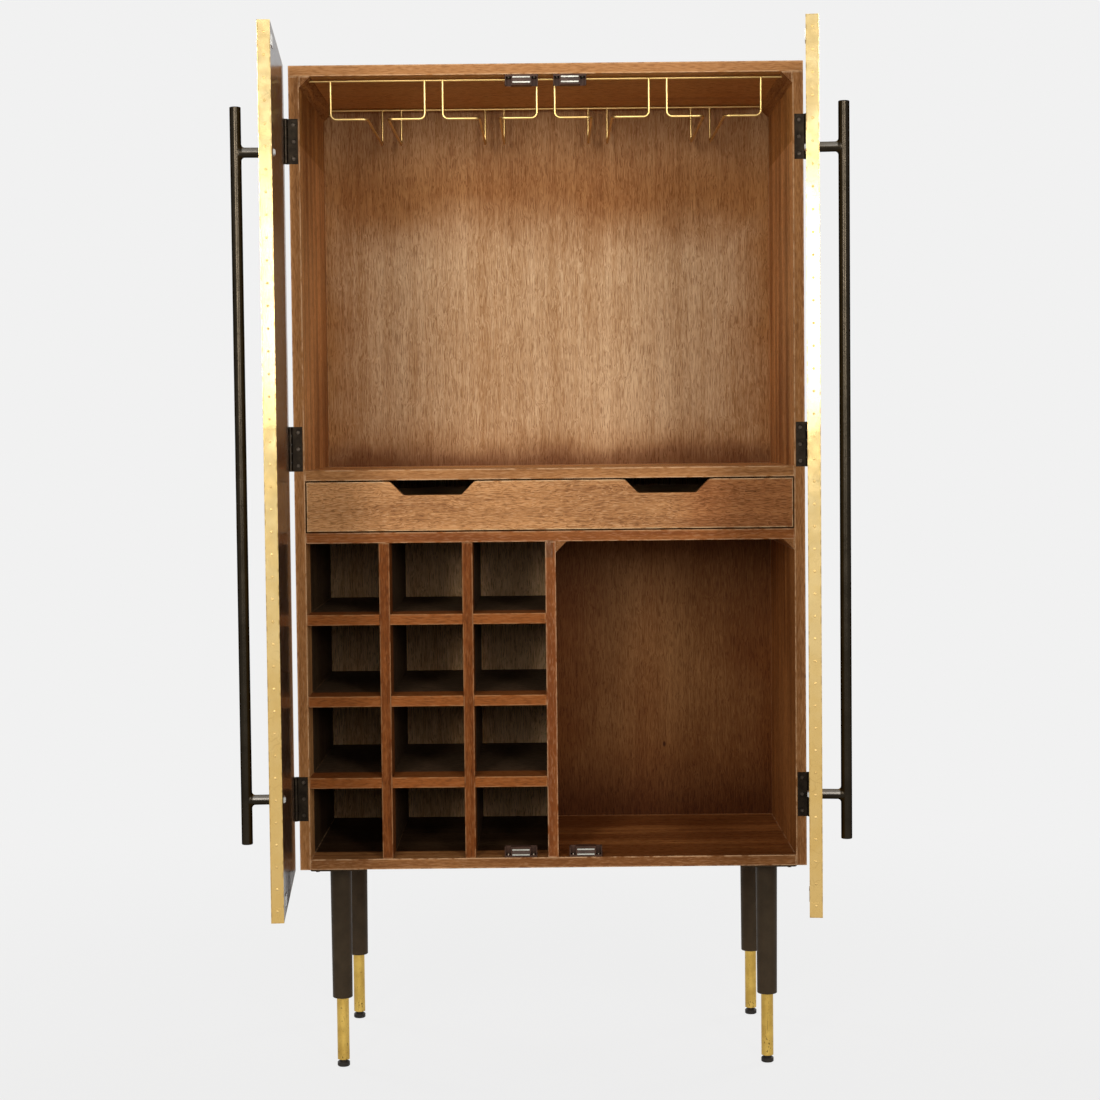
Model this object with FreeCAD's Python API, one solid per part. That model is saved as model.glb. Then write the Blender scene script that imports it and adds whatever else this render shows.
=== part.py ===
"""Two-door bar armoire on turned legs, built piece by piece in millimetres.

The origin is on the floor, straight below the middle of the carcass's front edge. X runs to the right
of someone facing the open doors, Y runs to the back and Z runs up. The doors stand open, the drawer is
shut and the levelling feet are screwed fully in.
"""
import FreeCAD
import Part
import os

Vec = FreeCAD.Vector
RIGHT = Vec(1, 0, 0)
LEFT = Vec(-1, 0, 0)
BACKWARD = Vec(0, 1, 0)
FORWARD = Vec(0, -1, 0)
UP = Vec(0, 0, 1)
DOWN = Vec(0, 0, -1)

# Carcass
CABINET_WIDTH = 765.0
CARCASS_DEPTH = 390.0
CARCASS_HEIGHT = 1204.0
CARCASS_LIFT = 312.0
BOARD = 16.0
EDGE_EASE = 0.9
CUT_OVERRUN = 5.0
GLUE_CLEARANCE = 0.05
PLANE_TOLERANCE = 0.01
PARALLEL_SHARE = 0.01

# Domed screw heads
DOME_SHOULDER_SHARE = 0.6
DOME_RISE_SHARE = 0.72
FULL_TURN = 360

# Back panel, let into rebates in the sides and the top
BACK_THICKNESS = 9.0
BACK_REBATE = 8.0

# Fixed shelves and the bay for the drawer
LOWER_SHELF_RISE = 493.0
DRAWER_BAY_HEIGHT = 78.0

# Bottle rack, boards halved into each other
RACK_COLUMNS = 3
RACK_ROWS = 4
RACK_SLOT_CLEARANCE = 0.1
RACK_SHELF_NAMES = ("rack_shelf_bottom", "rack_shelf_middle", "rack_shelf_top")
RACK_UPRIGHT_NAMES = ("rack_upright_left", "rack_upright_right")

# Triangular glue blocks
CORNER_BLOCK_LEG = 16.5

# Dowels between the boards
DOWEL_DIAMETER = 8.0
DOWEL_IN_FACE = 10.0
DOWEL_IN_END = 16.0
DOWEL_INSET = 45.0
DOWELS_PER_JOINT = 3

# Hanging rack for stemmed glasses
WIRE_DIAMETER = 4.0
RAIL_BELOW_TOP = 3.0
RAIL_FRONT_INSET = 32.0
RAIL_REAR_INSET = 36.0
HANGER_COUNT = 4
HANGER_GAP = 27.0
HANGER_END_GAP = 44.0
HANGER_DROP = 57.0
RUNNER_SPACING = 31.0
WIRE_BEND_RADIUS = 8.0

# Doors, a board core in a folded sheet tray
DOOR_GAP = 3.0
DOOR_THICKNESS = 17.5
DOOR_REVEAL = 1.0
DOOR_MEETING_GAP = 3.0
CLADDING = 0.8
LEFT_DOOR_ANGLE = 86.0
RIGHT_DOOR_ANGLE = 83.25
NAIL_PITCH = 30.0
NAIL_END_INSET = 16.0
NAIL_HEAD_DIAMETER = 3.6
NAIL_HEAD_HEIGHT = 0.6
NAIL_SHANK_DIAMETER = 1.4
NAIL_TIP_CLEARANCE = 0.6

# Butt hinges, let into the carcass edge and the door
HINGE_HEIGHT = 67.0
HINGE_TOP_DROP = 112.0
HINGE_MIDDLE_DROP = 569.0
HINGE_BOTTOM_RISE = 108.0
HINGE_OFFSET = 5.0
KNUCKLE_DIAMETER = 7.5
KNUCKLE_COUNT = 5
KNUCKLE_GAP = 0.4
LEAF_THICKNESS = 2.0
LEAF_EDGE_MARGIN = 2.4
PIN_DIAMETER = 3.2
PIN_CLEARANCE = 0.05
HINGE_SCREW_INSET = 8.5
HINGE_SCREWS = 3
HINGE_SCREW_HEAD = 6.6
HINGE_SCREW_SHANK = 3.0
HINGE_SCREW_STOP = 3.0

# Bar handles
HANDLE_DIAMETER = 15.0
HANDLE_LENGTH = 992.0
HANDLE_POST_DIAMETER = 13.6
HANDLE_POST_INSET = 60.5
HANDLE_FINGER_GAP = 25.0
HANDLE_EDGE_INSET = 41.0
HANDLE_CENTRE_DROP = 4.0
HANDLE_WELD_RADIUS = 4.5
HANDLE_END_ROUND = 1.2
HANDLE_BOLT_DIAMETER = 5.0
HANDLE_BOLT_HEAD = 11.0
HANDLE_BOLT_HEAD_HEIGHT = 2.6
HANDLE_BOLT_IN_POST = 14.0

# Magnetic catches and their strike plates
CATCH_TOP_X = 36.0
CATCH_BOTTOM_X = 49.0
CATCH_BODY_WIDTH = 30.0
CATCH_BODY_HEIGHT = 16.0
CATCH_BODY_DEPTH = 18.0
CATCH_SETBACK = 1.0
CATCH_EAR_WIDTH = 9.75
CATCH_EAR_THICKNESS = 3.0
CATCH_EAR_DEPTH = 13.0
CATCH_EAR_WALL = 1.6
CATCH_ROUND = 1.0
CATCH_WALL = 2.0
POLE_THICKNESS = 2.0
POLE_SPACING = 7.5
POLE_SEAT_DEPTH = 13.0
CATCH_CLEARANCE = 0.3
CATCH_SCREW_HEAD = 6.0
CATCH_SCREW_HEAD_HEIGHT = 2.0
CATCH_SCREW_SHANK = 3.0
CATCH_SCREW_LENGTH = 12.0
STRIKE_WIDTH = 32.0
STRIKE_HEIGHT = 15.0
STRIKE_THICKNESS = 1.0
STRIKE_SCREW_HEAD = 5.0
STRIKE_SCREW_SHANK = 2.5
STRIKE_SCREW_LENGTH = 13.0

# Drawer on wooden runners
DRAWER_SIDE_GAP = 2.0
DRAWER_FACE_GAP = 2.0
DRAWER_REAR_GAP = 36.0
DRAWER_SIDE_THICKNESS = 14.0
DRAWER_SIDE_HEIGHT = 58.0
DRAWER_BACK_THICKNESS = 12.0
DRAWER_BOTTOM_THICKNESS = 5.0
DRAWER_BOTTOM_RISE = 6.0
DRAWER_GROOVE = 5.0
DRAWER_GROOVE_CLEARANCE = 0.2
NOTCH_CENTRE = 176.0
NOTCH_TOP_WIDTH = 127.0
NOTCH_BOTTOM_WIDTH = 87.0
NOTCH_DEPTH = 20.5
NOTCH_LIP_ROUND = 9.0
NOTCH_FLOOR_ROUND = 6.0
SLIDE_WIDTH = 8.0
SLIDE_HEIGHT = 12.0
SLIDE_RISE = 24.0
SLIDE_START = 30.0
SLIDE_REAR_GAP = 26.0
SLIDE_CLEARANCE = 0.3

# Legs, their plates, ferrules and levelling feet
LEG_INSET_X = 57.0
LEG_INSET_Y = 47.0
LEG_PLATE_SIZE = 85.0
LEG_PLATE_THICKNESS = 3.0
LEG_PLATE_ROUND = 6.0
LEG_TOP_DIAMETER = 32.6
LEG_BOTTOM_DIAMETER = 30.4
LEG_EDGE_CHAMFER = 0.8
FERRULE_DIAMETER = 18.5
FERRULE_WALL = 1.5
FERRULE_SHOWN = 96.0
FERRULE_IN_LEG = 30.0
FERRULE_CLEARANCE = 0.05
LEG_BOLT_DIAMETER = 8.0
LEG_BOLT_IN_LEG = 34.0
LEG_BOLT_IN_BOARD = 10.0
PLATE_SCREW_INSET = 10.5
PLATE_SCREW_HEAD = 8.0
PLATE_SCREW_HEAD_HEIGHT = 2.4
PLATE_SCREW_SHANK = 4.0
PLATE_SCREW_LENGTH = 14.0
FOOT_DIAMETER = 19.0
FOOT_PAD_HEIGHT = 7.5
FOOT_CHAMFER = 1.2
FOOT_COLLAR_DIAMETER = 12.5
FOOT_COLLAR_HEIGHT = 3.2
FOOT_SEAT_CLEARANCE = 0.3
FOOT_STEM_DIAMETER = 8.0
FOOT_STEM_LENGTH = 30.0
FOOT_STEM_CLEARANCE = 0.05
FOOT_INSERT_LENGTH = 22.0

# Levels and planes that several pieces share
HALF_WIDTH = CABINET_WIDTH / 2
INNER_HALF = HALF_WIDTH - BOARD
Y_FRONT = 0.0
Y_REAR = Y_FRONT + CARCASS_DEPTH
Y_BACK_FACE = Y_REAR - BACK_THICKNESS
Z_UNDERSIDE = CARCASS_LIFT
Z_INNER_FLOOR = Z_UNDERSIDE + BOARD
Z_LOWER_SHELF = Z_UNDERSIDE + LOWER_SHELF_RISE
Z_DRAWER_BAY = Z_LOWER_SHELF + BOARD
Z_UPPER_SHELF = Z_DRAWER_BAY + DRAWER_BAY_HEIGHT
Z_TOP = Z_UNDERSIDE + CARCASS_HEIGHT
Z_ROOF = Z_TOP - BOARD
Z_DOOR_FOOT = Z_UNDERSIDE + DOOR_REVEAL
Z_DOOR_HEAD = Z_TOP - DOOR_REVEAL
Y_DOOR_INNER = Y_FRONT - DOOR_GAP
Y_DOOR_OUTER = Y_DOOR_INNER - DOOR_THICKNESS
HALF_DIVIDER = BOARD / 2
AXIS_X = HALF_WIDTH + HINGE_OFFSET
AXIS_Y = Y_FRONT - DOOR_GAP / 2
LEAF_ON_EDGE = BOARD - LEAF_EDGE_MARGIN
LEAF_MIDDLE_X = HALF_WIDTH - LEAF_ON_EDGE / 2
HINGE_SCREW_PITCH = (HINGE_HEIGHT - 2 * HINGE_SCREW_INSET) / (HINGE_SCREWS - 1)
HINGE_SCREW_LENGTH = DOOR_THICKNESS - HINGE_SCREW_STOP
NAIL_LENGTH = (LEAF_ON_EDGE - HINGE_SCREW_SHANK) / 2 - NAIL_TIP_CLEARANCE
HINGE_LEVELS = (Z_TOP - HINGE_TOP_DROP, Z_TOP - HINGE_MIDDLE_DROP, Z_UNDERSIDE + HINGE_BOTTOM_RISE)
LEG_X = HALF_WIDTH - LEG_INSET_X
LEG_FRONT_Y = Y_FRONT + LEG_INSET_Y
LEG_REAR_Y = Y_REAR - LEG_INSET_Y
Z_FERRULE_FOOT = FOOT_PAD_HEIGHT + FOOT_COLLAR_HEIGHT + FOOT_SEAT_CLEARANCE
Z_LEG_FOOT = Z_FERRULE_FOOT + FERRULE_SHOWN
Z_LEG_TOP = Z_UNDERSIDE - LEG_PLATE_THICKNESS

SIDES = {"left": -1, "right": 1}
LEG_PLACES = {
    "front_left": Vec(-LEG_X, LEG_FRONT_Y, 0),
    "front_right": Vec(LEG_X, LEG_FRONT_Y, 0),
    "rear_left": Vec(-LEG_X, LEG_REAR_Y, 0),
    "rear_right": Vec(LEG_X, LEG_REAR_Y, 0),
}


def block(x_span, y_span, z_span):
    """A box between two planes along each axis, given in any order."""
    spans = [sorted(span) for span in (x_span, y_span, z_span)]
    sizes = [high - low for low, high in spans]
    return Part.makeBox(*sizes, Vec(*[low for low, high in spans]))


def across(hand, *distances):
    """Distances from the middle plane, placed on the left or right side."""
    return [hand * distance for distance in distances]


def rod(diameter, length, start, direction):
    """A round bar from a start point along a direction."""
    return Part.makeCylinder(diameter / 2, length, start, direction)


def group(solids):
    """Separate solids that share one node."""
    return Part.makeCompound(list(solids))


def place(shape, point, direction):
    """A shape modelled at the origin along Z, moved to a point and turned along a direction."""
    placed = shape.copy()
    placed.Placement = FreeCAD.Placement(point, FreeCAD.Rotation(UP, direction))
    return placed


def eased(shape, wanted, radius=EDGE_EASE):
    """A shape with the edges that pass a test rounded over."""
    edges = [edge for edge in shape.Edges if wanted(edge)]
    return shape.makeFillet(radius, edges)


def ends(edge):
    """The two end points of an edge."""
    return [vertex.Point for vertex in edge.Vertexes]


def is_rim(edge):
    """Whether an edge is a closed ring, such as the rim of a round bar."""
    return len(edge.Vertexes) == 1


def runs_along(edge, direction):
    """Whether a straight edge is parallel to a direction."""
    if is_rim(edge):
        return False
    first, last = ends(edge)
    return (last - first).normalize().cross(direction).Length < PARALLEL_SHARE


def lies_on(edge, direction, level):
    """Whether both ends of an edge lie on a plane square to a direction."""
    return all(abs(point.dot(direction) - level) < PLANE_TOLERANCE for point in ends(edge))


def front_eased(board, direction):
    """A board whose two long front edges, parallel to a direction, are rounded."""
    return eased(board, lambda edge: runs_along(edge, direction) and lies_on(edge, BACKWARD, Y_FRONT))


def screw(head, head_height, shank, length, clearance=0):
    """A domed screw standing along -Z with its head above Z = 0, or its hole with a clearance."""
    rim = head / 2
    crown = head_height / 2
    shoulder = Vec(rim * DOME_SHOULDER_SHARE, 0, crown + crown * DOME_RISE_SHARE)
    edges = [
        Part.LineSegment(Vec(0, 0, 0), Vec(0, 0, head_height)).toShape(),
        Part.Arc(Vec(0, 0, head_height), shoulder, Vec(rim, 0, crown)).toShape(),
        Part.LineSegment(Vec(rim, 0, crown), Vec(rim, 0, 0)).toShape(),
        Part.LineSegment(Vec(rim, 0, 0), Vec(0, 0, 0)).toShape(),
    ]
    dome = Part.Face(Part.Wire(edges)).revolve(Vec(0, 0, 0), UP, FULL_TURN)
    hole = rod(shank + 2 * clearance, length + clearance, Vec(0, 0, 0), DOWN)
    if clearance:
        return hole
    return dome.fuse(hole).removeSplitter()


def countersunk(head, shank, sink, length, clearance=0):
    """A flat-headed screw standing along -Z with its head flush at Z = 0, or its hole."""
    cone = Part.makeCone(shank / 2 + clearance, head / 2 + clearance, sink, Vec(0, 0, -sink), UP)
    body = rod(shank + 2 * clearance, length + clearance, Vec(0, 0, 0), DOWN)
    return cone.fuse(body).removeSplitter()


def dowel_lines():
    """Depths in from the front at which each joint has a dowel."""
    first = Y_FRONT + DOWEL_INSET
    last = Y_BACK_FACE - DOWEL_INSET
    step = (last - first) / (DOWELS_PER_JOINT - 1)
    return [first + index * step for index in range(DOWELS_PER_JOINT)]


def dowel(face_point, into_end, clearance=0):
    """A dowel across a joint, from inside one board's face into the other board's end."""
    start = face_point - into_end * (DOWEL_IN_FACE + clearance)
    length = DOWEL_IN_FACE + DOWEL_IN_END + 2 * clearance
    return rod(DOWEL_DIAMETER + 2 * clearance, length, start, into_end)


def dowel_joints():
    """The point and direction of every dowel in the carcass."""
    joints = []
    for depth in dowel_lines():
        for hand in SIDES.values():
            inward = LEFT if hand > 0 else RIGHT
            for level in (Z_UNDERSIDE, Z_LOWER_SHELF, Z_UPPER_SHELF):
                joints.append((Vec(hand * INNER_HALF, depth, level + BOARD / 2), inward))
            joints.append((Vec(hand * (INNER_HALF + BOARD / 2), depth, Z_ROOF), DOWN))
        joints.append((Vec(0, depth, Z_INNER_FLOOR), UP))
        joints.append((Vec(0, depth, Z_LOWER_SHELF), DOWN))
    return joints


def dowels():
    """All carcass dowels."""
    return group(dowel(point, direction) for point, direction in dowel_joints())


def dowel_holes():
    """The holes for all carcass dowels."""
    return [dowel(point, direction, GLUE_CLEARANCE) for point, direction in dowel_joints()]


def hinge_screw_places(hand, x, y, direction):
    """Where the screws of one side's hinge leaves go in."""
    middle = (HINGE_SCREWS - 1) / 2
    return [
        (Vec(hand * x, y, level + (index - middle) * HINGE_SCREW_PITCH), direction)
        for level in HINGE_LEVELS
        for index in range(HINGE_SCREWS)
    ]


def hinge_screws(places, clearance=0):
    """Flat-headed hinge screws at the given places, or their holes."""
    pattern = countersunk(HINGE_SCREW_HEAD, HINGE_SCREW_SHANK, LEAF_THICKNESS, HINGE_SCREW_LENGTH, clearance)
    return [place(pattern, point, direction) for point, direction in places]


def leaf_mortise(hand, y_from, y_to, level):
    """The shallow recess for one hinge leaf, open at the outer side."""
    x_span = across(hand, HALF_WIDTH - LEAF_ON_EDGE, HALF_WIDTH + CUT_OVERRUN)
    return block(x_span, (y_from, y_to), (level - HINGE_HEIGHT / 2, level + HINGE_HEIGHT / 2))


def side_panel(hand):
    """One side board with its rebate, hinge recesses and holes."""
    board = block(across(hand, INNER_HALF, HALF_WIDTH), (Y_FRONT, Y_REAR), (Z_UNDERSIDE, Z_ROOF))
    board = front_eased(board, UP)
    cuts = [block(across(hand, INNER_HALF, INNER_HALF + BACK_REBATE), (Y_BACK_FACE, Y_REAR),
                  (Z_UNDERSIDE, Z_ROOF))]
    for level in HINGE_LEVELS:
        cuts.append(leaf_mortise(hand, Y_FRONT - CUT_OVERRUN, Y_FRONT + LEAF_THICKNESS, level))
    places = hinge_screw_places(hand, LEAF_MIDDLE_X, Y_FRONT, FORWARD)
    cuts += hinge_screws(places, GLUE_CLEARANCE)
    return board.cut(cuts + dowel_holes())


def top_panel():
    """The top board over the sides, rebated for the back."""
    board = block((-HALF_WIDTH, HALF_WIDTH), (Y_FRONT, Y_REAR), (Z_ROOF, Z_TOP))
    board = eased(board, lambda edge: lies_on(edge, UP, Z_TOP) or runs_along(edge, UP)
                  or lies_on(edge, BACKWARD, Y_FRONT))
    rebate_half = INNER_HALF + BACK_REBATE
    rebate = block((-rebate_half, rebate_half), (Y_BACK_FACE, Y_REAR + CUT_OVERRUN),
                   (Z_ROOF - CUT_OVERRUN, Z_ROOF + BACK_REBATE))
    return board.cut([rebate] + dowel_holes() + catch_screw_holes())


def bottom_panel():
    """The bottom board between the sides, with holes for the leg fixings and catches."""
    board = block((-INNER_HALF, INNER_HALF), (Y_FRONT, Y_BACK_FACE), (Z_UNDERSIDE, Z_INNER_FLOOR))
    board = front_eased(board, RIGHT)
    bolts = leg_bolts(GLUE_CLEARANCE)
    return board.cut(dowel_holes() + catch_screw_holes() + bolts + leg_plate_screws(GLUE_CLEARANCE))


def back_panel():
    """The thin back, seated in the rebates."""
    half = INNER_HALF + BACK_REBATE
    return block((-half, half), (Y_BACK_FACE, Y_REAR), (Z_UNDERSIDE, Z_ROOF + BACK_REBATE))


def shelf(level):
    """A fixed shelf across the whole inside."""
    board = block((-INNER_HALF, INNER_HALF), (Y_FRONT, Y_BACK_FACE), (level, level + BOARD))
    return front_eased(board, RIGHT).cut(dowel_holes())


def centre_divider():
    """The upright between the bottle rack and the open compartment."""
    board = block((-HALF_DIVIDER, HALF_DIVIDER), (Y_FRONT, Y_BACK_FACE), (Z_INNER_FLOOR, Z_LOWER_SHELF))
    return front_eased(board, UP).cut(dowel_holes())


RACK_WIDTH = INNER_HALF - HALF_DIVIDER
RACK_HEIGHT = Z_LOWER_SHELF - Z_INNER_FLOOR
RACK_CELL_WIDTH = (RACK_WIDTH - (RACK_COLUMNS - 1) * BOARD) / RACK_COLUMNS
RACK_CELL_HEIGHT = (RACK_HEIGHT - (RACK_ROWS - 1) * BOARD) / RACK_ROWS
RACK_UPRIGHTS_X = [
    -INNER_HALF + (index + 1) * RACK_CELL_WIDTH + index * BOARD for index in range(RACK_COLUMNS - 1)
]
RACK_SHELVES_Z = [
    Z_INNER_FLOOR + (index + 1) * RACK_CELL_HEIGHT + index * BOARD for index in range(RACK_ROWS - 1)
]
Y_HALVING = (Y_FRONT + Y_BACK_FACE) / 2


def rack_upright(left_x):
    """One upright of the rack, slotted from the back to the halving line."""
    board = block((left_x, left_x + BOARD), (Y_FRONT, Y_BACK_FACE), (Z_INNER_FLOOR, Z_LOWER_SHELF))
    slots = [
        block((left_x - CUT_OVERRUN, left_x + BOARD + CUT_OVERRUN),
              (Y_HALVING, Y_BACK_FACE + CUT_OVERRUN),
              (level - RACK_SLOT_CLEARANCE, level + BOARD + RACK_SLOT_CLEARANCE))
        for level in RACK_SHELVES_Z
    ]
    return front_eased(board, UP).cut(slots)


def rack_shelf(level):
    """One shelf of the rack, slotted from the front to the halving line."""
    board = block((-INNER_HALF, -HALF_DIVIDER), (Y_FRONT, Y_BACK_FACE), (level, level + BOARD))
    slots = [
        block((left_x - RACK_SLOT_CLEARANCE, left_x + BOARD + RACK_SLOT_CLEARANCE),
              (Y_FRONT - CUT_OVERRUN, Y_HALVING),
              (level - CUT_OVERRUN, level + BOARD + CUT_OVERRUN))
        for left_x in RACK_UPRIGHTS_X
    ]
    return front_eased(board, RIGHT).cut(slots)


def corner_block(x, inward, ceiling):
    """A triangular glue block under a board, along the whole depth of the inside."""
    corner = Vec(x, Y_FRONT, ceiling)
    leg_in = inward * CORNER_BLOCK_LEG
    leg_down = DOWN * CORNER_BLOCK_LEG
    outline = Part.makePolygon([corner, corner + leg_in, corner + leg_down, corner])
    return Part.Face(outline).extrude(BACKWARD * (Y_BACK_FACE - Y_FRONT))


def corner_blocks():
    """The glue blocks in the upper compartment and in the open lower compartment."""
    upper = [corner_block(-INNER_HALF, RIGHT, Z_ROOF), corner_block(INNER_HALF, LEFT, Z_ROOF)]
    lower = [corner_block(HALF_DIVIDER, RIGHT, Z_LOWER_SHELF), corner_block(INNER_HALF, LEFT, Z_LOWER_SHELF)]
    holes = [glass_rail(depth, 2 * GLUE_CLEARANCE) for depth in RAIL_DEPTHS]
    return group([solid.cut(holes) for solid in upper] + lower)


RAIL_LEVEL = Z_ROOF - RAIL_BELOW_TOP
RAIL_DEPTHS = (Y_FRONT + RAIL_FRONT_INSET, Y_BACK_FACE - RAIL_REAR_INSET)
HANGERS_SPAN = 2 * (INNER_HALF - HANGER_END_GAP)
HANGER_PITCH = (HANGERS_SPAN + HANGER_GAP) / HANGER_COUNT
HANGER_WIDTH = HANGER_PITCH - HANGER_GAP


def glass_rail(depth, growth=0):
    """A wire rail held at both ends in the upper glue blocks."""
    return rod(WIRE_DIAMETER + growth, 2 * INNER_HALF, Vec(-INNER_HALF, depth, RAIL_LEVEL), RIGHT)


def bent_wire(points, diameter, radius):
    """A round wire along straight runs joined by bends of one radius."""
    edges = []
    start = points[0]
    for before, corner, after in zip(points, points[1:], points[2:]):
        back = (before - corner).normalize()
        ahead = (after - corner).normalize()
        bend_start = corner + back * radius
        bend_end = corner + ahead * radius
        centre = corner + (back + ahead) * radius
        bend_middle = centre - (back + ahead).normalize() * radius
        edges.append(Part.LineSegment(start, bend_start).toShape())
        edges.append(Part.Arc(bend_start, bend_middle, bend_end).toShape())
        start = bend_end
    edges.append(Part.LineSegment(start, points[-1]).toShape())
    path = Part.Wire(edges)
    section = Part.Wire(Part.makeCircle(diameter / 2, points[0], points[1] - points[0]))
    return path.makePipeShell([section], True, True)


def glass_hanger(index):
    """A pair of wires that carries one row of glasses by the foot."""
    centre = (index - (HANGER_COUNT - 1) / 2) * HANGER_PITCH
    front, rear = RAIL_DEPTHS
    low = RAIL_LEVEL - HANGER_DROP
    rails = [glass_rail(depth) for depth in RAIL_DEPTHS]
    wires = []
    for hand in SIDES.values():
        outer = centre + hand * HANGER_WIDTH / 2
        inner = centre + hand * RUNNER_SPACING / 2
        points = [
            Vec(outer, front, RAIL_LEVEL),
            Vec(outer, front, low),
            Vec(inner, front, low),
            Vec(inner, rear, low),
            Vec(inner, rear, RAIL_LEVEL),
        ]
        wires.append(bent_wire(points, WIRE_DIAMETER, WIRE_BEND_RADIUS).cut(rails))
    return group(wires)


def knuckle_spans(level):
    """The height span of each knuckle of one hinge, from the bottom."""
    pitch = HINGE_HEIGHT / KNUCKLE_COUNT
    foot = level - HINGE_HEIGHT / 2
    return [(foot + index * pitch, foot + (index + 1) * pitch) for index in range(KNUCKLE_COUNT)]


def hinge_pin(hand, level, clearance=0):
    """The pin of one hinge, or its bore."""
    foot = Vec(hand * AXIS_X, AXIS_Y, level - HINGE_HEIGHT / 2)
    return rod(PIN_DIAMETER + 2 * clearance, HINGE_HEIGHT, foot, UP)


def hinge_leaf(hand, level, y_from, y_to, first):
    """One hinge leaf: a plate and every other knuckle, counted from the first."""
    plate_x = across(hand, HALF_WIDTH - LEAF_ON_EDGE, AXIS_X)
    leaf = block(plate_x, (y_from, y_to), (level - HINGE_HEIGHT / 2, level + HINGE_HEIGHT / 2))
    for index, (low, high) in enumerate(knuckle_spans(level)):
        base = Vec(hand * AXIS_X, AXIS_Y, low)
        if index % 2 == first:
            barrel = rod(KNUCKLE_DIAMETER, high - low - KNUCKLE_GAP, base + UP * (KNUCKLE_GAP / 2), UP)
            leaf = leaf.fuse(barrel)
        else:
            leaf = leaf.cut(rod(KNUCKLE_DIAMETER + 2 * KNUCKLE_GAP, high - low, base, UP))
    return leaf.cut(hinge_pin(hand, level, PIN_CLEARANCE))


def frame_leaves():
    """The hinge leaves that are fixed to the carcass."""
    leaves = []
    for hand in SIDES.values():
        holes = hinge_screws(hinge_screw_places(hand, LEAF_MIDDLE_X, Y_FRONT, FORWARD), GLUE_CLEARANCE)
        for level in HINGE_LEVELS:
            leaf = hinge_leaf(hand, level, Y_FRONT, Y_FRONT + LEAF_THICKNESS, 0)
            leaves.append(leaf.cut(holes))
    return group(leaves)


def frame_screws():
    """The screws of the carcass leaves."""
    places = []
    for hand in SIDES.values():
        places += hinge_screw_places(hand, LEAF_MIDDLE_X, Y_FRONT, FORWARD)
    return group(hinge_screws(places))


def hinge_pins():
    """The pins on which the doors turn."""
    return group(hinge_pin(hand, level) for hand in SIDES.values() for level in HINGE_LEVELS)


DOOR_HINGE_X = HALF_WIDTH
DOOR_FREE_X = DOOR_MEETING_GAP / 2
HANDLE_X = DOOR_FREE_X + HANDLE_EDGE_INSET
HANDLE_Z = (Z_DOOR_FOOT + Z_DOOR_HEAD) / 2 - HANDLE_CENTRE_DROP
HANDLE_AXIS_Y = Y_DOOR_OUTER - HANDLE_FINGER_GAP - HANDLE_DIAMETER / 2
HANDLE_POST_REACH = HANDLE_LENGTH / 2 - HANDLE_POST_INSET
HANDLE_POST_LEVELS = (HANDLE_Z - HANDLE_POST_REACH, HANDLE_Z + HANDLE_POST_REACH)


def door_screw_places(hand):
    """Where the screws of the door leaves go in, on the inner face of a shut door."""
    return hinge_screw_places(hand, LEAF_MIDDLE_X, Y_DOOR_INNER, BACKWARD)


def strike_places(hand):
    """The centres of the two strike plates on the inner face of a shut door."""
    low = Z_INNER_FLOOR + CATCH_BODY_HEIGHT / 2
    high = Z_ROOF - CATCH_BODY_HEIGHT / 2
    return [Vec(hand * CATCH_BOTTOM_X, Y_DOOR_INNER, low), Vec(hand * CATCH_TOP_X, Y_DOOR_INNER, high)]


def strike_screws(hand, clearance=0):
    """One flat-headed screw through each strike plate, or its hole."""
    pattern = countersunk(STRIKE_SCREW_HEAD, STRIKE_SCREW_SHANK, STRIKE_THICKNESS, STRIKE_SCREW_LENGTH,
                          clearance)
    return [place(pattern, point + BACKWARD * STRIKE_THICKNESS, BACKWARD) for point in strike_places(hand)]


def handle_bolts(hand, clearance=0):
    """The bolts through a door into its handle posts, or their holes."""
    length = DOOR_THICKNESS + HANDLE_BOLT_IN_POST
    pattern = screw(HANDLE_BOLT_HEAD, HANDLE_BOLT_HEAD_HEIGHT, HANDLE_BOLT_DIAMETER, length, clearance)
    seats = [Vec(hand * HANDLE_X, Y_DOOR_INNER, level) for level in HANDLE_POST_LEVELS]
    return [place(pattern, seat, BACKWARD) for seat in seats]


def spread(first, last, pitch):
    """Even places between two ends, as near to a pitch as they divide."""
    count = max(1, round((last - first) / pitch))
    return [first + (last - first) * index / count for index in range(count + 1)]


def nail_places(hand):
    """The point and outward direction of every nail round the edges of a shut door."""
    middle = (Y_DOOR_INNER + Y_DOOR_OUTER) / 2
    toward_hinge = RIGHT if hand > 0 else LEFT
    places = []
    for level in spread(Z_DOOR_FOOT + NAIL_END_INSET, Z_DOOR_HEAD - NAIL_END_INSET, NAIL_PITCH):
        places.append((Vec(hand * DOOR_FREE_X, middle, level), -toward_hinge))
        places.append((Vec(hand * DOOR_HINGE_X, middle, level), toward_hinge))
    for x in spread(DOOR_FREE_X + NAIL_END_INSET, DOOR_HINGE_X - NAIL_END_INSET, NAIL_PITCH):
        places.append((Vec(hand * x, middle, Z_DOOR_FOOT), DOWN))
        places.append((Vec(hand * x, middle, Z_DOOR_HEAD), UP))
    return places


def nails(hand, clearance=0):
    """The cladding nails of a shut door, or their holes."""
    pattern = screw(NAIL_HEAD_DIAMETER, NAIL_HEAD_HEIGHT, NAIL_SHANK_DIAMETER, NAIL_LENGTH, clearance)
    return [place(pattern, point, direction) for point, direction in nail_places(hand)]


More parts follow.
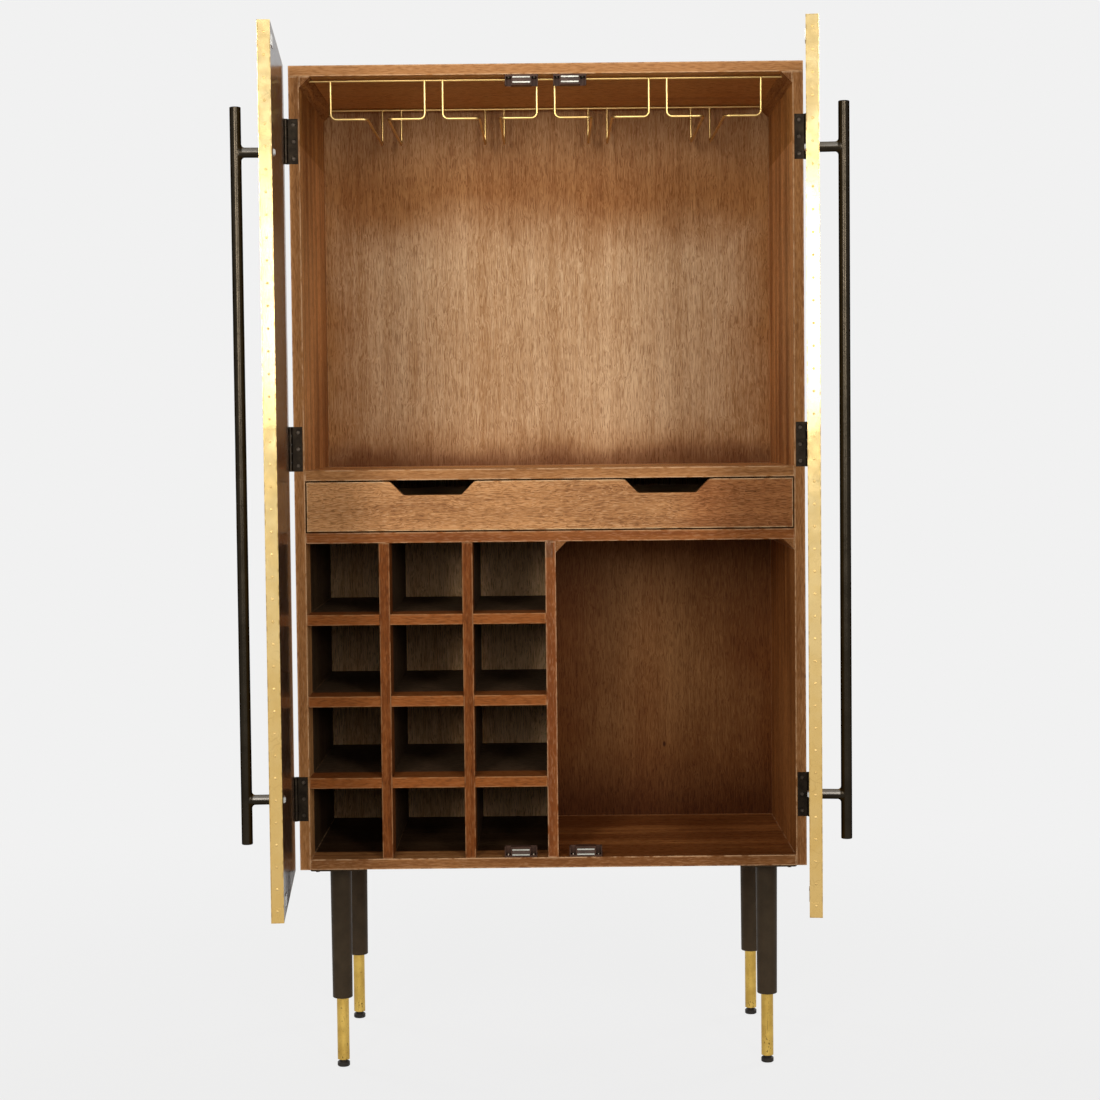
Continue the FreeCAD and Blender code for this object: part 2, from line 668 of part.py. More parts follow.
def door_box(hand, inset=0):
    """The outside of a shut door, drawn in at the face and edges but not at the inner face."""
    return block(across(hand, DOOR_FREE_X + inset, DOOR_HINGE_X - inset),
                 (Y_DOOR_OUTER + inset, Y_DOOR_INNER),
                 (Z_DOOR_FOOT + inset, Z_DOOR_HEAD - inset))


def door_recesses(hand):
    """The hinge recesses and the through holes of a shut door."""
    cuts = handle_bolts(hand, GLUE_CLEARANCE)
    for level in HINGE_LEVELS:
        cuts.append(leaf_mortise(hand, Y_DOOR_INNER - LEAF_THICKNESS, Y_DOOR_INNER + CUT_OVERRUN, level))
    return cuts + nails(hand, GLUE_CLEARANCE)


def door_core(hand):
    """The board inside a door."""
    screws = hinge_screws(door_screw_places(hand), GLUE_CLEARANCE) + strike_screws(hand, GLUE_CLEARANCE)
    return door_box(hand, CLADDING).cut(door_recesses(hand) + screws)


def door_cladding(hand):
    """The sheet tray over a door's face and edges."""
    tray = eased(door_box(hand), lambda edge: not lies_on(edge, BACKWARD, Y_DOOR_INNER), CLADDING / 2)
    return tray.cut([door_box(hand, CLADDING)] + door_recesses(hand))


def door_handle(hand):
    """A long round bar on two welded posts."""
    foot = HANDLE_Z - HANDLE_LENGTH / 2
    bar = rod(HANDLE_DIAMETER, HANDLE_LENGTH, Vec(hand * HANDLE_X, HANDLE_AXIS_Y, foot), UP)
    bar = eased(bar, is_rim, HANDLE_END_ROUND)
    post_length = Y_DOOR_OUTER - HANDLE_AXIS_Y
    posts = [
        rod(HANDLE_POST_DIAMETER, post_length, Vec(hand * HANDLE_X, Y_DOOR_OUTER, level), FORWARD)
        for level in HANDLE_POST_LEVELS
    ]
    handle = bar.fuse(posts)
    bar_side = Y_DOOR_OUTER - HANDLE_FINGER_GAP

    def is_weld(edge):
        """Whether an edge is where a post meets the bar."""
        return edge.BoundBox.YMin < bar_side and edge.BoundBox.YMax < Y_DOOR_OUTER and not on_bar(edge)

    def on_bar(edge):
        """Whether an edge belongs to the bar alone."""
        near_post = [level for level in HANDLE_POST_LEVELS
                     if abs(edge.CenterOfMass.z - level) < HANDLE_POST_DIAMETER]
        return not near_post or edge.BoundBox.ZLength > 2 * HANDLE_POST_DIAMETER

    handle = eased(handle, is_weld, HANDLE_WELD_RADIUS)
    return handle.cut(handle_bolts(hand, GLUE_CLEARANCE))


def door_leaves(hand):
    """The hinge leaves on a shut door."""
    holes = hinge_screws(door_screw_places(hand), GLUE_CLEARANCE)
    return group(
        hinge_leaf(hand, level, Y_DOOR_INNER - LEAF_THICKNESS, Y_DOOR_INNER, 1).cut(holes)
        for level in HINGE_LEVELS
    )


def strike_plates(hand):
    """The steel plates that the catches hold."""
    holes = strike_screws(hand, GLUE_CLEARANCE)
    half_width = STRIKE_WIDTH / 2
    half_height = STRIKE_HEIGHT / 2
    return group(
        block((point.x - half_width, point.x + half_width), (point.y, point.y + STRIKE_THICKNESS),
              (point.z - half_height, point.z + half_height)).cut(holes)
        for point in strike_places(hand)
    )


def door_fasteners(hand):
    """The handle bolts, hinge screws and strike screws of one door."""
    return group(handle_bolts(hand) + hinge_screws(door_screw_places(hand)) + strike_screws(hand))


def door_nodes(side):
    """Every node of one door, turned open about its hinge pins."""
    hand = SIDES[side]
    opening = LEFT_DOOR_ANGLE if hand < 0 else RIGHT_DOOR_ANGLE
    shut = {
        "door_core": door_core(hand),
        "door_cladding": door_cladding(hand),
        "cladding_nails": group(nails(hand)),
        "door_handle": door_handle(hand),
        "door_fasteners": door_fasteners(hand),
        "hinge_door_leaves": door_leaves(hand),
        "strike_plates": strike_plates(hand),
    }
    axis = Vec(hand * AXIS_X, AXIS_Y, 0)
    return {
        name + "_" + side: shape.rotated(axis, UP, hand * opening) for name, shape in shut.items()
    }


CATCH_FRONT = Y_FRONT + CATCH_SETBACK
POLE_FRONT = Y_DOOR_INNER + STRIKE_THICKNESS + CATCH_CLEARANCE
POLE_REAR = CATCH_FRONT + POLE_SEAT_DEPTH
POLE_WIDTH = CATCH_BODY_WIDTH - 2 * CATCH_WALL


def catch_places():
    """The middle of each catch's mounting face, and the way from it into the housing."""
    places = []
    for hand in SIDES.values():
        places.append((Vec(hand * CATCH_BOTTOM_X, CATCH_FRONT, Z_INNER_FLOOR), UP))
        places.append((Vec(hand * CATCH_TOP_X, CATCH_FRONT, Z_ROOF), DOWN))
    return places


def catch_slab(point, away, half_width, y_span, near, far):
    """A box of a catch between two distances from its mounting face."""
    return block((point.x - half_width, point.x + half_width), y_span,
                 (point.z + away.z * near, point.z + away.z * far))


def pole_levels():
    """The distances of the two pole plates' middles from the mounting face."""
    middle = CATCH_BODY_HEIGHT / 2
    return (middle - POLE_SPACING / 2, middle + POLE_SPACING / 2)


def catch_screws(clearance=0):
    """Two screws for each catch, through its ears, or their holes."""
    pattern = screw(CATCH_SCREW_HEAD, CATCH_SCREW_HEAD_HEIGHT, CATCH_SCREW_SHANK, CATCH_SCREW_LENGTH,
                    clearance)
    reach = CATCH_BODY_WIDTH / 2 + (CATCH_EAR_WIDTH - CATCH_EAR_WALL) / 2
    depth = (CATCH_EAR_DEPTH - CATCH_EAR_WALL) / 2
    screws = []
    for point, away in catch_places():
        for hand in SIDES.values():
            seat = point + Vec(hand * reach, depth, 0) + away * CATCH_EAR_THICKNESS
            screws.append(place(pattern, seat, away))
    return screws


def catch_screw_holes():
    """The holes for the catch screws in the boards."""
    return catch_screws(GLUE_CLEARANCE)


def catch_housings():
    """The moulded housings, each with a front pocket and two ears that wall in their screws."""
    half_body = CATCH_BODY_WIDTH / 2
    low, high = pole_levels()
    housings = []
    for point, away in catch_places():
        body = catch_slab(point, away, half_body, (CATCH_FRONT, CATCH_FRONT + CATCH_BODY_DEPTH),
                          0, CATCH_BODY_HEIGHT)
        far = point.z + away.z * CATCH_BODY_HEIGHT
        body = eased(body, lambda edge: lies_on(edge, UP, far), CATCH_ROUND)
        ears = catch_slab(point, away, half_body + CATCH_EAR_WIDTH,
                          (CATCH_FRONT, CATCH_FRONT + CATCH_EAR_DEPTH), 0, CATCH_BODY_HEIGHT)
        ears = eased(ears, lambda edge: runs_along(edge, UP), CATCH_ROUND)
        channel_rear = CATCH_FRONT + CATCH_EAR_DEPTH - CATCH_EAR_WALL
        ears = ears.cut(catch_slab(point, away, half_body + CATCH_EAR_WIDTH - CATCH_EAR_WALL,
                                   (CATCH_FRONT - CUT_OVERRUN, channel_rear),
                                   CATCH_EAR_THICKNESS, CATCH_BODY_HEIGHT + CUT_OVERRUN))
        pocket = catch_slab(point, away, POLE_WIDTH / 2 + GLUE_CLEARANCE,
                            (CATCH_FRONT - CUT_OVERRUN, POLE_REAR + GLUE_CLEARANCE),
                            low - POLE_THICKNESS / 2 - GLUE_CLEARANCE,
                            high + POLE_THICKNESS / 2 + GLUE_CLEARANCE)
        housings.append(body.fuse(ears).cut([pocket] + catch_screw_holes()))
    return group(housings)


def catch_poles():
    """The two steel pole plates of each catch."""
    return group(
        catch_slab(point, away, POLE_WIDTH / 2, (POLE_FRONT, POLE_REAR),
                   level - POLE_THICKNESS / 2, level + POLE_THICKNESS / 2)
        for point, away in catch_places()
        for level in pole_levels()
    )


def catch_magnets():
    """The magnet between the pole plates of each catch."""
    low, high = pole_levels()
    return group(
        catch_slab(point, away, POLE_WIDTH / 2, (CATCH_FRONT, POLE_REAR),
                   low + POLE_THICKNESS / 2, high - POLE_THICKNESS / 2)
        for point, away in catch_places()
    )


DRAWER_HALF = INNER_HALF - DRAWER_SIDE_GAP
Z_DRAWER_FOOT = Z_DRAWER_BAY + DRAWER_FACE_GAP
Z_DRAWER_HEAD = Z_UPPER_SHELF - DRAWER_FACE_GAP
DRAWER_INNER_HALF = DRAWER_HALF - DRAWER_SIDE_THICKNESS
Y_DRAWER_INSIDE = Y_FRONT + BOARD
Y_DRAWER_REAR = Y_BACK_FACE - DRAWER_REAR_GAP
Y_DRAWER_BACK_FACE = Y_DRAWER_REAR - DRAWER_BACK_THICKNESS
Z_DRAWER_BOTTOM = Z_DRAWER_FOOT + DRAWER_BOTTOM_RISE
Z_SLIDE = Z_DRAWER_FOOT + SLIDE_RISE


def drawer_bottom(clearance=0):
    """The thin bottom let into grooves all round, or the space of those grooves."""
    reach = DRAWER_GROOVE - DRAWER_GROOVE_CLEARANCE + clearance
    half = DRAWER_INNER_HALF + reach
    return block((-half, half), (Y_DRAWER_INSIDE - reach, Y_DRAWER_BACK_FACE + reach),
                 (Z_DRAWER_BOTTOM - clearance, Z_DRAWER_BOTTOM + DRAWER_BOTTOM_THICKNESS + clearance))


def finger_notch(centre):
    """The wedge cut out of the drawer front's upper edge."""
    top = NOTCH_TOP_WIDTH / 2
    bottom = NOTCH_BOTTOM_WIDTH / 2
    floor = Z_DRAWER_HEAD - NOTCH_DEPTH
    corners = [
        Vec(centre - top, Y_FRONT, Z_DRAWER_HEAD),
        Vec(centre - bottom, Y_FRONT, floor),
        Vec(centre + bottom, Y_FRONT, floor),
        Vec(centre + top, Y_FRONT, Z_DRAWER_HEAD),
    ]
    return Part.Face(Part.makePolygon(corners + corners[:1])).extrude(BACKWARD * BOARD)


def drawer_front():
    """The drawer front with its two finger notches."""
    board = block((-DRAWER_HALF, DRAWER_HALF), (Y_FRONT, Y_DRAWER_INSIDE), (Z_DRAWER_FOOT, Z_DRAWER_HEAD))
    board = board.cut([finger_notch(hand * NOTCH_CENTRE) for hand in SIDES.values()])
    floor = Z_DRAWER_HEAD - NOTCH_DEPTH

    def is_lip(edge):
        """Whether an edge is where a notch breaks the upper edge."""
        inside = abs(edge.CenterOfMass.x) < NOTCH_CENTRE + NOTCH_TOP_WIDTH
        return runs_along(edge, BACKWARD) and lies_on(edge, UP, Z_DRAWER_HEAD) and inside

    board = eased(board, is_lip, NOTCH_LIP_ROUND)
    board = eased(board, lambda edge: runs_along(edge, BACKWARD) and lies_on(edge, UP, floor),
                  NOTCH_FLOOR_ROUND)
    board = eased(board, lambda edge: lies_on(edge, BACKWARD, Y_FRONT))
    return board.cut(drawer_bottom(DRAWER_GROOVE_CLEARANCE))


def drawer_slide(hand, clearance=0):
    """The wooden runner on one side of the bay, or the drawer's groove for it."""
    y_span = (Y_FRONT + SLIDE_START, Y_BACK_FACE - SLIDE_REAR_GAP)
    if clearance:
        y_span = (Y_DRAWER_INSIDE - CUT_OVERRUN, Y_DRAWER_REAR + CUT_OVERRUN)
    return block(across(hand, INNER_HALF - SLIDE_WIDTH - clearance, INNER_HALF), y_span,
                 (Z_SLIDE - clearance, Z_SLIDE + SLIDE_HEIGHT + clearance))


def drawer_side(hand):
    """One grooved side of the drawer."""
    board = block(across(hand, DRAWER_INNER_HALF, DRAWER_HALF), (Y_DRAWER_INSIDE, Y_DRAWER_REAR),
                  (Z_DRAWER_FOOT, Z_DRAWER_FOOT + DRAWER_SIDE_HEIGHT))
    return board.cut([drawer_slide(hand, SLIDE_CLEARANCE), drawer_bottom(DRAWER_GROOVE_CLEARANCE)])


def drawer_back():
    """The drawer's back, between its sides."""
    board = block((-DRAWER_INNER_HALF, DRAWER_INNER_HALF), (Y_DRAWER_BACK_FACE, Y_DRAWER_REAR),
                  (Z_DRAWER_FOOT, Z_DRAWER_FOOT + DRAWER_SIDE_HEIGHT))
    return board.cut(drawer_bottom(DRAWER_GROOVE_CLEARANCE))


def leg_points(level):
    """The four leg axes at one height."""
    return [point + UP * level for point in LEG_PLACES.values()]


def leg_bolts(clearance=0):
    """The bolts that hold the legs to their plates, or their holes."""
    length = LEG_BOLT_IN_LEG + LEG_PLATE_THICKNESS + LEG_BOLT_IN_BOARD
    return [
        rod(LEG_BOLT_DIAMETER + 2 * clearance, length + 2 * clearance,
            point - UP * (LEG_BOLT_IN_LEG + clearance), UP)
        for point in leg_points(Z_LEG_TOP)
    ]


def leg_plate_screws(clearance=0):
    """Four screws for each leg plate, or their holes."""
    pattern = screw(PLATE_SCREW_HEAD, PLATE_SCREW_HEAD_HEIGHT, PLATE_SCREW_SHANK, PLATE_SCREW_LENGTH,
                    clearance)
    reach = LEG_PLATE_SIZE / 2 - PLATE_SCREW_INSET
    return [
        place(pattern, point + Vec(across_hand * reach, along_hand * reach, 0), DOWN)
        for point in leg_points(Z_LEG_TOP)
        for across_hand in SIDES.values()
        for along_hand in SIDES.values()
    ]


def leg_plates():
    """The steel plates between the legs and the carcass."""
    half = LEG_PLATE_SIZE / 2
    holes = leg_bolts(GLUE_CLEARANCE) + leg_plate_screws(GLUE_CLEARANCE)
    plates = []
    for point in leg_points(Z_LEG_TOP):
        plate = block((point.x - half, point.x + half), (point.y - half, point.y + half),
                      (Z_LEG_TOP, Z_UNDERSIDE))
        plate = eased(plate, lambda edge: runs_along(edge, UP), LEG_PLATE_ROUND)
        plates.append(plate.cut(holes))
    return group(plates)


def leg(corner):
    """One turned leg, bored for its bolt and its ferrule."""
    base = LEG_PLACES[corner] + UP * Z_LEG_FOOT
    height = Z_LEG_TOP - Z_LEG_FOOT
    cone = Part.makeCone(LEG_BOTTOM_DIAMETER / 2, LEG_TOP_DIAMETER / 2, height, base, UP)
    cone = cone.makeChamfer(LEG_EDGE_CHAMFER, [edge for edge in cone.Edges if is_rim(edge)])
    socket = rod(FERRULE_DIAMETER + 2 * FERRULE_CLEARANCE, FERRULE_IN_LEG + FERRULE_CLEARANCE, base, UP)
    return cone.cut([socket] + leg_bolts(GLUE_CLEARANCE))


def leg_ferrules():
    """The brass tubes below the legs."""
    length = FERRULE_SHOWN + FERRULE_IN_LEG
    bore = FERRULE_DIAMETER - 2 * FERRULE_WALL
    return group(
        rod(FERRULE_DIAMETER, length, point, UP).cut(rod(bore, length, point, UP))
        for point in leg_points(Z_FERRULE_FOOT)
    )


def foot_inserts():
    """The threaded inserts in the ferrules, drawn as plain bores."""
    outside = FERRULE_DIAMETER - 2 * FERRULE_WALL - 2 * GLUE_CLEARANCE
    bore = FOOT_STEM_DIAMETER + 2 * FOOT_STEM_CLEARANCE
    return group(
        rod(outside, FOOT_INSERT_LENGTH, point, UP).cut(rod(bore, FOOT_INSERT_LENGTH, point, UP))
        for point in leg_points(Z_FERRULE_FOOT)
    )


def foot(corner):
    """One levelling foot: a pad, a collar and a stem in the insert."""
    base = LEG_PLACES[corner]
    pad = rod(FOOT_DIAMETER, FOOT_PAD_HEIGHT, base, UP)
    pad = pad.makeChamfer(FOOT_CHAMFER, [edge for edge in pad.Edges if is_rim(edge)])
    neck = base + UP * FOOT_PAD_HEIGHT
    collar = rod(FOOT_COLLAR_DIAMETER, FOOT_COLLAR_HEIGHT, neck, UP)
    stem = rod(FOOT_STEM_DIAMETER, FOOT_STEM_LENGTH, neck + UP * FOOT_COLLAR_HEIGHT, UP)
    return pad.fuse([collar, stem]).removeSplitter()


def cabinet_nodes():
    """Every node of the fixed cabinet."""
    nodes = {
        "top_panel": top_panel(),
        "bottom_panel": bottom_panel(),
        "back_panel": back_panel(),
        "upper_shelf": shelf(Z_UPPER_SHELF),
        "lower_shelf": shelf(Z_LOWER_SHELF),
        "centre_divider": centre_divider(),
        "corner_blocks": corner_blocks(),
        "carcass_dowels": dowels(),
        "drawer_runners": group(drawer_slide(hand) for hand in SIDES.values()),
        "glass_rails": group(glass_rail(depth) for depth in RAIL_DEPTHS),
        "hinge_frame_leaves": frame_leaves(),
        "hinge_frame_screws": frame_screws(),
        "hinge_pins": hinge_pins(),
        "catch_housings": catch_housings(),
        "catch_pole_plates": catch_poles(),
        "catch_magnets": catch_magnets(),
        "catch_screws": group(catch_screws()),
        "leg_plates": leg_plates(),
        "leg_plate_screws": group(leg_plate_screws()),
        "leg_bolts": group(leg_bolts()),
        "leg_ferrules": leg_ferrules(),
        "foot_inserts": foot_inserts(),
    }
    for side, hand in SIDES.items():
        nodes["side_panel_" + side] = side_panel(hand)
    for name, left_x in zip(RACK_UPRIGHT_NAMES, RACK_UPRIGHTS_X):
        nodes[name] = rack_upright(left_x)
    for name, level in zip(RACK_SHELF_NAMES, RACK_SHELVES_Z):
        nodes[name] = rack_shelf(level)
    for index in range(HANGER_COUNT):
        nodes["glass_hanger_" + str(index + 1)] = glass_hanger(index)
    for corner in LEG_PLACES:
        nodes["leg_" + corner] = leg(corner)
    return nodes


def drawer_nodes():
    """Every node of the drawer."""
    nodes = {
        "drawer_front": drawer_front(),
        "drawer_back": drawer_back(),
        "drawer_bottom": drawer_bottom(),
    }
    for side, hand in SIDES.items():
        nodes["drawer_side_" + side] = drawer_side(hand)
    return nodes


def main():
    """Build every node and write it to its own file."""
    os.makedirs("parts", exist_ok=True)
    nodes = cabinet_nodes()
    nodes.update(drawer_nodes())
    for side in SIDES:
        nodes.update(door_nodes(side))
    for corner in LEG_PLACES:
        nodes["foot_" + corner] = foot(corner)
    for name, shape in nodes.items():
        shape.exportStep("parts/" + name + ".step")
    print(len(nodes), "nodes")


main()
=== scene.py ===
"""Looks of a two-door bar armoire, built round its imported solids.

Each sub-assembly is a class. It holds the sizes that it needs, dresses the solids of the frame with their
finishes and builds the small fittings that the solids leave plain. Lengths are in metres in the frame's own
axes: X to the right, Y to the back and Z up, with Y = 0 on the front edges of the cabinet.
"""
import logging
import math
from dataclasses import dataclass, replace
from enum import Enum
from functools import cached_property, partialmethod
from typing import Any, Dict, List, Optional, Sequence, Tuple, Union

import bmesh
import bpy
from mathutils import Matrix, Vector


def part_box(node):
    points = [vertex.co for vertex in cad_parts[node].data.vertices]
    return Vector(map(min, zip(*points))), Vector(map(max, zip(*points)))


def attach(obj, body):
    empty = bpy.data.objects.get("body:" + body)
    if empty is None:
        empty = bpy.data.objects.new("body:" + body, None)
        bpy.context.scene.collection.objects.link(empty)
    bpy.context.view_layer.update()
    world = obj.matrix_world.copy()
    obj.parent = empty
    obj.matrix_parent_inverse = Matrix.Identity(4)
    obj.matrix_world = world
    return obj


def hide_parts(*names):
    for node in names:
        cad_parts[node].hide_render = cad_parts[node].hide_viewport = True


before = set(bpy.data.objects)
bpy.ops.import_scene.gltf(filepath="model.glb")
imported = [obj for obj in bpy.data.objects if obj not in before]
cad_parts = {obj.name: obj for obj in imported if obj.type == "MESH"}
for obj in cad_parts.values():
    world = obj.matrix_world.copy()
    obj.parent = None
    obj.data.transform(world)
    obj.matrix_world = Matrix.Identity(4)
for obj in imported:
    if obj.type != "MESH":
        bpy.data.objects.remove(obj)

Colour = Tuple[float, float, float]
Triple = Tuple[float, float, float]
Pair = Tuple[float, float]
Number = Union[float, "Term"]
Sockets = Dict[Union[str, int], Any]
Seat = Tuple[Vector, Vector, float]

LOG = logging.getLogger("bar_armoire")
RECESS = "recess"
WHITE = (1.0, 1.0, 1.0)
MM = 0.001
INNER_X = 0.3665
DIVIDER_X = 8.0 * MM
EDGE_Y = 2.0 * MM
BACK_Y = 0.39
FLOOR_Z = 0.328
LOWER_SHELF_Z = 0.805
UPPER_SHELF_Z = 0.915
HANGER_Z = 1.4
CEILING_Z = 1.5
RACK_LIP = 62.0 * MM
POST_LEVELS = (0.4745, 1.3455)
CORNERS = ("front_left", "front_right", "rear_left", "rear_right")


class Grain(Enum):
    """The axis along which a board's grain runs."""

    ACROSS = 0
    DEEP = 1
    UPRIGHT = 2


class Hand(Enum):
    """The side of the cabinet that a piece belongs to."""

    LEFT = -1
    RIGHT = 1

    @property
    def word(self) -> str:
        """The side's name as the nodes spell it."""
        return self.name.lower()


class Term:
    """A socket of a node tree that takes part in arithmetic."""

    def __init__(self, tree: "Tree", socket: bpy.types.NodeSocket) -> None:
        """Keep the socket and the tree it belongs to."""
        self.tree = tree
        self.socket = socket

    def maths(self, operation: str, other: Number = 0.0) -> "Term":
        """This value and another put through a Math node."""
        return self.tree.read("Math", {0: self, 1: other}, operation=operation)

    def reflected(self, operation: str, other: Number) -> "Term":
        """Another value and this one put through a Math node."""
        return self.tree.read("Math", {0: other, 1: self}, operation=operation)

    __add__ = __radd__ = partialmethod(maths, "ADD")
    __mul__ = __rmul__ = partialmethod(maths, "MULTIPLY")
    __sub__ = partialmethod(maths, "SUBTRACT")
    __rsub__ = partialmethod(reflected, "SUBTRACT")
    least = partialmethod(maths, "MINIMUM")
    most = partialmethod(maths, "MAXIMUM")
    size = partialmethod(maths, "ABSOLUTE")
    root = partialmethod(maths, "SQRT")

    def rise(self, low: float, high: float) -> "Term":
        """A smooth step from 0 at a low value to 1 at a high one."""
        sockets = {"Value": self, "From Min": low, "From Max": high}
        return self.tree.read("MapRange", sockets, "Result", interpolation_type="SMOOTHSTEP")


class Tree:
    """The node tree of one material or world, with one method that makes its nodes."""

    def __init__(self, owner: Union[bpy.types.Material, bpy.types.World]) -> None:
        """Clear the owner's tree.

        Args:
            owner: The material or world to work on.
        """
        owner.use_nodes = True
        self.nodes = owner.node_tree.nodes
        self.links = owner.node_tree.links
        self.nodes.clear()

    def node(self, kind: str, sockets: Optional[Sockets] = None, **settings: Any) -> bpy.types.Node:
        """Make a node, set it up and feed its sockets.

        Args:
            kind: The node's type, without the prefix that all types share.
            sockets: Values or terms by socket name or index.
            **settings: Its own settings, set before its sockets.

        Returns:
            The new node.
        """
        made = self.nodes.new(f"ShaderNode{kind}")
        for name, value in settings.items():
            setattr(made, name, value)
        for key, value in (sockets or {}).items():
            socket = made.inputs[key]
            if isinstance(value, Term):
                self.links.new(value.socket, socket)
            elif socket.type == "RGBA":
                socket.default_value = (*value, 1.0)
            else:
                socket.default_value = value
        return made

    def read(self, kind: str, sockets: Optional[Sockets] = None, output: Union[str, int] = 0,
             **settings: Any) -> Term:
        """One output of a new node."""
        return Term(self, self.node(kind, sockets, **settings).outputs[output])

    @cached_property
    def place(self) -> Term:
        """The Object coordinates, in metres in the frame's axes."""
        return self.read("TexCoord", output="Object")

    @cached_property
    def xyz(self) -> List[Term]:
        """The three parts of the Object coordinates."""
        return self.split(self.place)

    def split(self, vector: Term) -> List[Term]:
        """The three parts of a vector."""
        return [Term(self, socket) for socket in self.node("SeparateXYZ", {0: vector}).outputs]

    def join(self, parts: Sequence[Number]) -> Term:
        """A vector from three parts."""
        return self.read("CombineXYZ", dict(enumerate(parts)))

    def mapped(self, vector: Term, scale: Triple = (1, 1, 1), turn: Triple = (0, 0, 0),
               shift: Triple = (0, 0, 0)) -> Term:
        """A vector scaled, turned by angles in radians, and then shifted."""
        return self.read("Mapping", {"Vector": vector, "Scale": scale, "Rotation": turn, "Location": shift})

    def noise(self, vector: Term, scale: Union[float, Triple], detail: float = 2.0,
              roughness: float = 0.5) -> Term:
        """Soft noise between 0 and 1.

        Args:
            vector: Where to read it.
            scale: Its lumps per metre, alike all round or along each axis.
            detail: How many finer layers it has.
            roughness: How strong those layers are.

        Returns:
            The noise value.
        """
        if isinstance(scale, tuple):
            vector, scale = self.mapped(vector, scale=scale), 1.0
        sockets = {"Vector": vector, "Scale": scale, "Detail": detail, "Roughness": roughness}
        return self.read("TexNoise", sockets)

    def cracks(self, vector: Term, scale: float) -> Term:
        """The distance from the borders of random cells, in cells, with so many cells per metre."""
        sockets = {"Vector": vector, "Scale": scale}
        return self.read("TexVoronoi", sockets, "Distance", feature="DISTANCE_TO_EDGE")

    def mix(self, share: Number, first: Union[Colour, Term], second: Union[Colour, Term],
            blend: str = "MIX") -> Term:
        """A share of the second colour blended into the first."""
        sockets = {0: share, 6: first, 7: second}
        return self.read("Mix", sockets, 2, data_type="RGBA", blend_type=blend)

    def bump(self, height: Term, strength: float, distance: float) -> Term:
        """A normal tilted by a height, of which 1 stands for a distance in metres."""
        return self.read("Bump", {"Strength": strength, "Distance": distance, "Height": height})

    def surface(self, **sockets: Any) -> None:
        """End a material in a Principled shader, whose sockets are named with _ for each space."""
        named = {name.replace("_", " "): value for name, value in sockets.items()}
        self.node("OutputMaterial", {"Surface": self.read("BsdfPrincipled", named)})


def box_edge(point: Sequence[Term], low: Sequence[float], high: Sequence[float]) -> Term:
    """The distance from a box's nearest edge, for a point on its surface.

    Args:
        point: The point's three parts.
        low: The box's lowest corner.
        high: The box's highest corner.

    Returns:
        The second smallest of the distances from the box's planes.
    """
    first, second, third = [(part - start).size().least((end - part).size())
                            for part, start, end in zip(point, low, high)]
    return first.least(second).most(first.most(second).least(third))


@dataclass(frozen=True)
class Finish:
    """A named finish that dresses pieces."""

    name: str

    def material(self) -> bpy.types.Material:
        """The finish's material, made on first use.

        Returns:
            The material.
        """
        label = f"{self.name}_finish"
        made = bpy.data.materials.get(label)
        if made is None:
            made = bpy.data.materials.new(label)
            self.shade(Tree(made))
        return made

    def shade(self, tree: Tree) -> None:
        """Fill the material's tree."""
        raise NotImplementedError

    def dress(self, *pieces: bpy.types.Object) -> None:
        """Give pieces this finish alone.

        Args:
            *pieces: The objects to dress.
        """
        for piece in pieces:
            piece.data.materials.clear()
            piece.data.materials.append(self.material())


@dataclass(frozen=True)
class Stain:
    """A stretch of the cabinet in which a colour multiplies the wood; some are stained marks and some painted
    shade.
    """

    low: Triple
    high: Triple
    colour: Colour
    soft: float = 0.4 * MM

    def share(self, tree: Tree) -> Term:
        """How much of the colour a point takes: 1 inside the stretch, falling to 0 just outside it."""
        x, y, z = [(part - low).least(high - part) for part, low, high in zip(tree.xyz, self.low, self.high)]
        return x.least(y).least(z).rise(-2.0 * self.soft, -self.soft)


@dataclass(frozen=True)
class Wood(Finish):
    """Oiled wood with open pores, streaks along the grain, paler edges that are partly from use and partly
    painted highlight, and a stained front lip.
    """

    pale: Colour
    deep: Colour
    pore: Colour
    worn: Colour
    pore_strength: float = 0.5
    pore_width: float = 1.6 * MM
    pore_length: float = 12.0 * MM
    pore_step: Pair = (0.5, 0.64)
    fleck: float = 0.12
    fleck_step: Pair = (0.34, 0.47)
    streaks: Triple = (190.0, 190.0, 3.0)
    ribbons: Triple = (24.0, 24.0, 0.9)
    clouds: Triple = (5.0, 5.0, 3.0)
    shares: Triple = (0.35, 0.35, 0.3)
    tone_step: Pair = (0.37, 0.63)
    drift: Triple = (14.0, 14.0, 8.0)
    drift_pull: float = 5.0
    ripple: Triple = (90.0, 90.0, 55.0)
    waver: float = 2.5 * MM
    # Paler edges: partly from use, partly painted highlight where the eased edges catch the light.
    wear: float = 0.5
    wear_width: float = 2.6 * MM
    wear_start: float = 0.3
    rub: float = 55.0
    rub_step: Pair = (0.35, 0.6)
    roughness: float = 0.46
    pore_roughness: float = 0.14
    cloud_roughness: float = 0.16
    specular: float = 0.06
    relief: float = 0.3
    relief_depth: float = 0.3 * MM
    lip: Optional[Tuple[Colour, Colour]] = None
    lip_depth: float = 1.2 * MM
    lip_start: float = 0.9
    lip_fill: float = 0.3
    stains: Tuple[Stain, ...] = ()

    def plank(self, node: str, grain: Grain, tone: float = 0.0) -> "Plank":
        """This wood cut as one board of the frame, with its grain and how much paler it is."""
        return Plank(f"{self.name}_{node}", self, node, grain, tone)


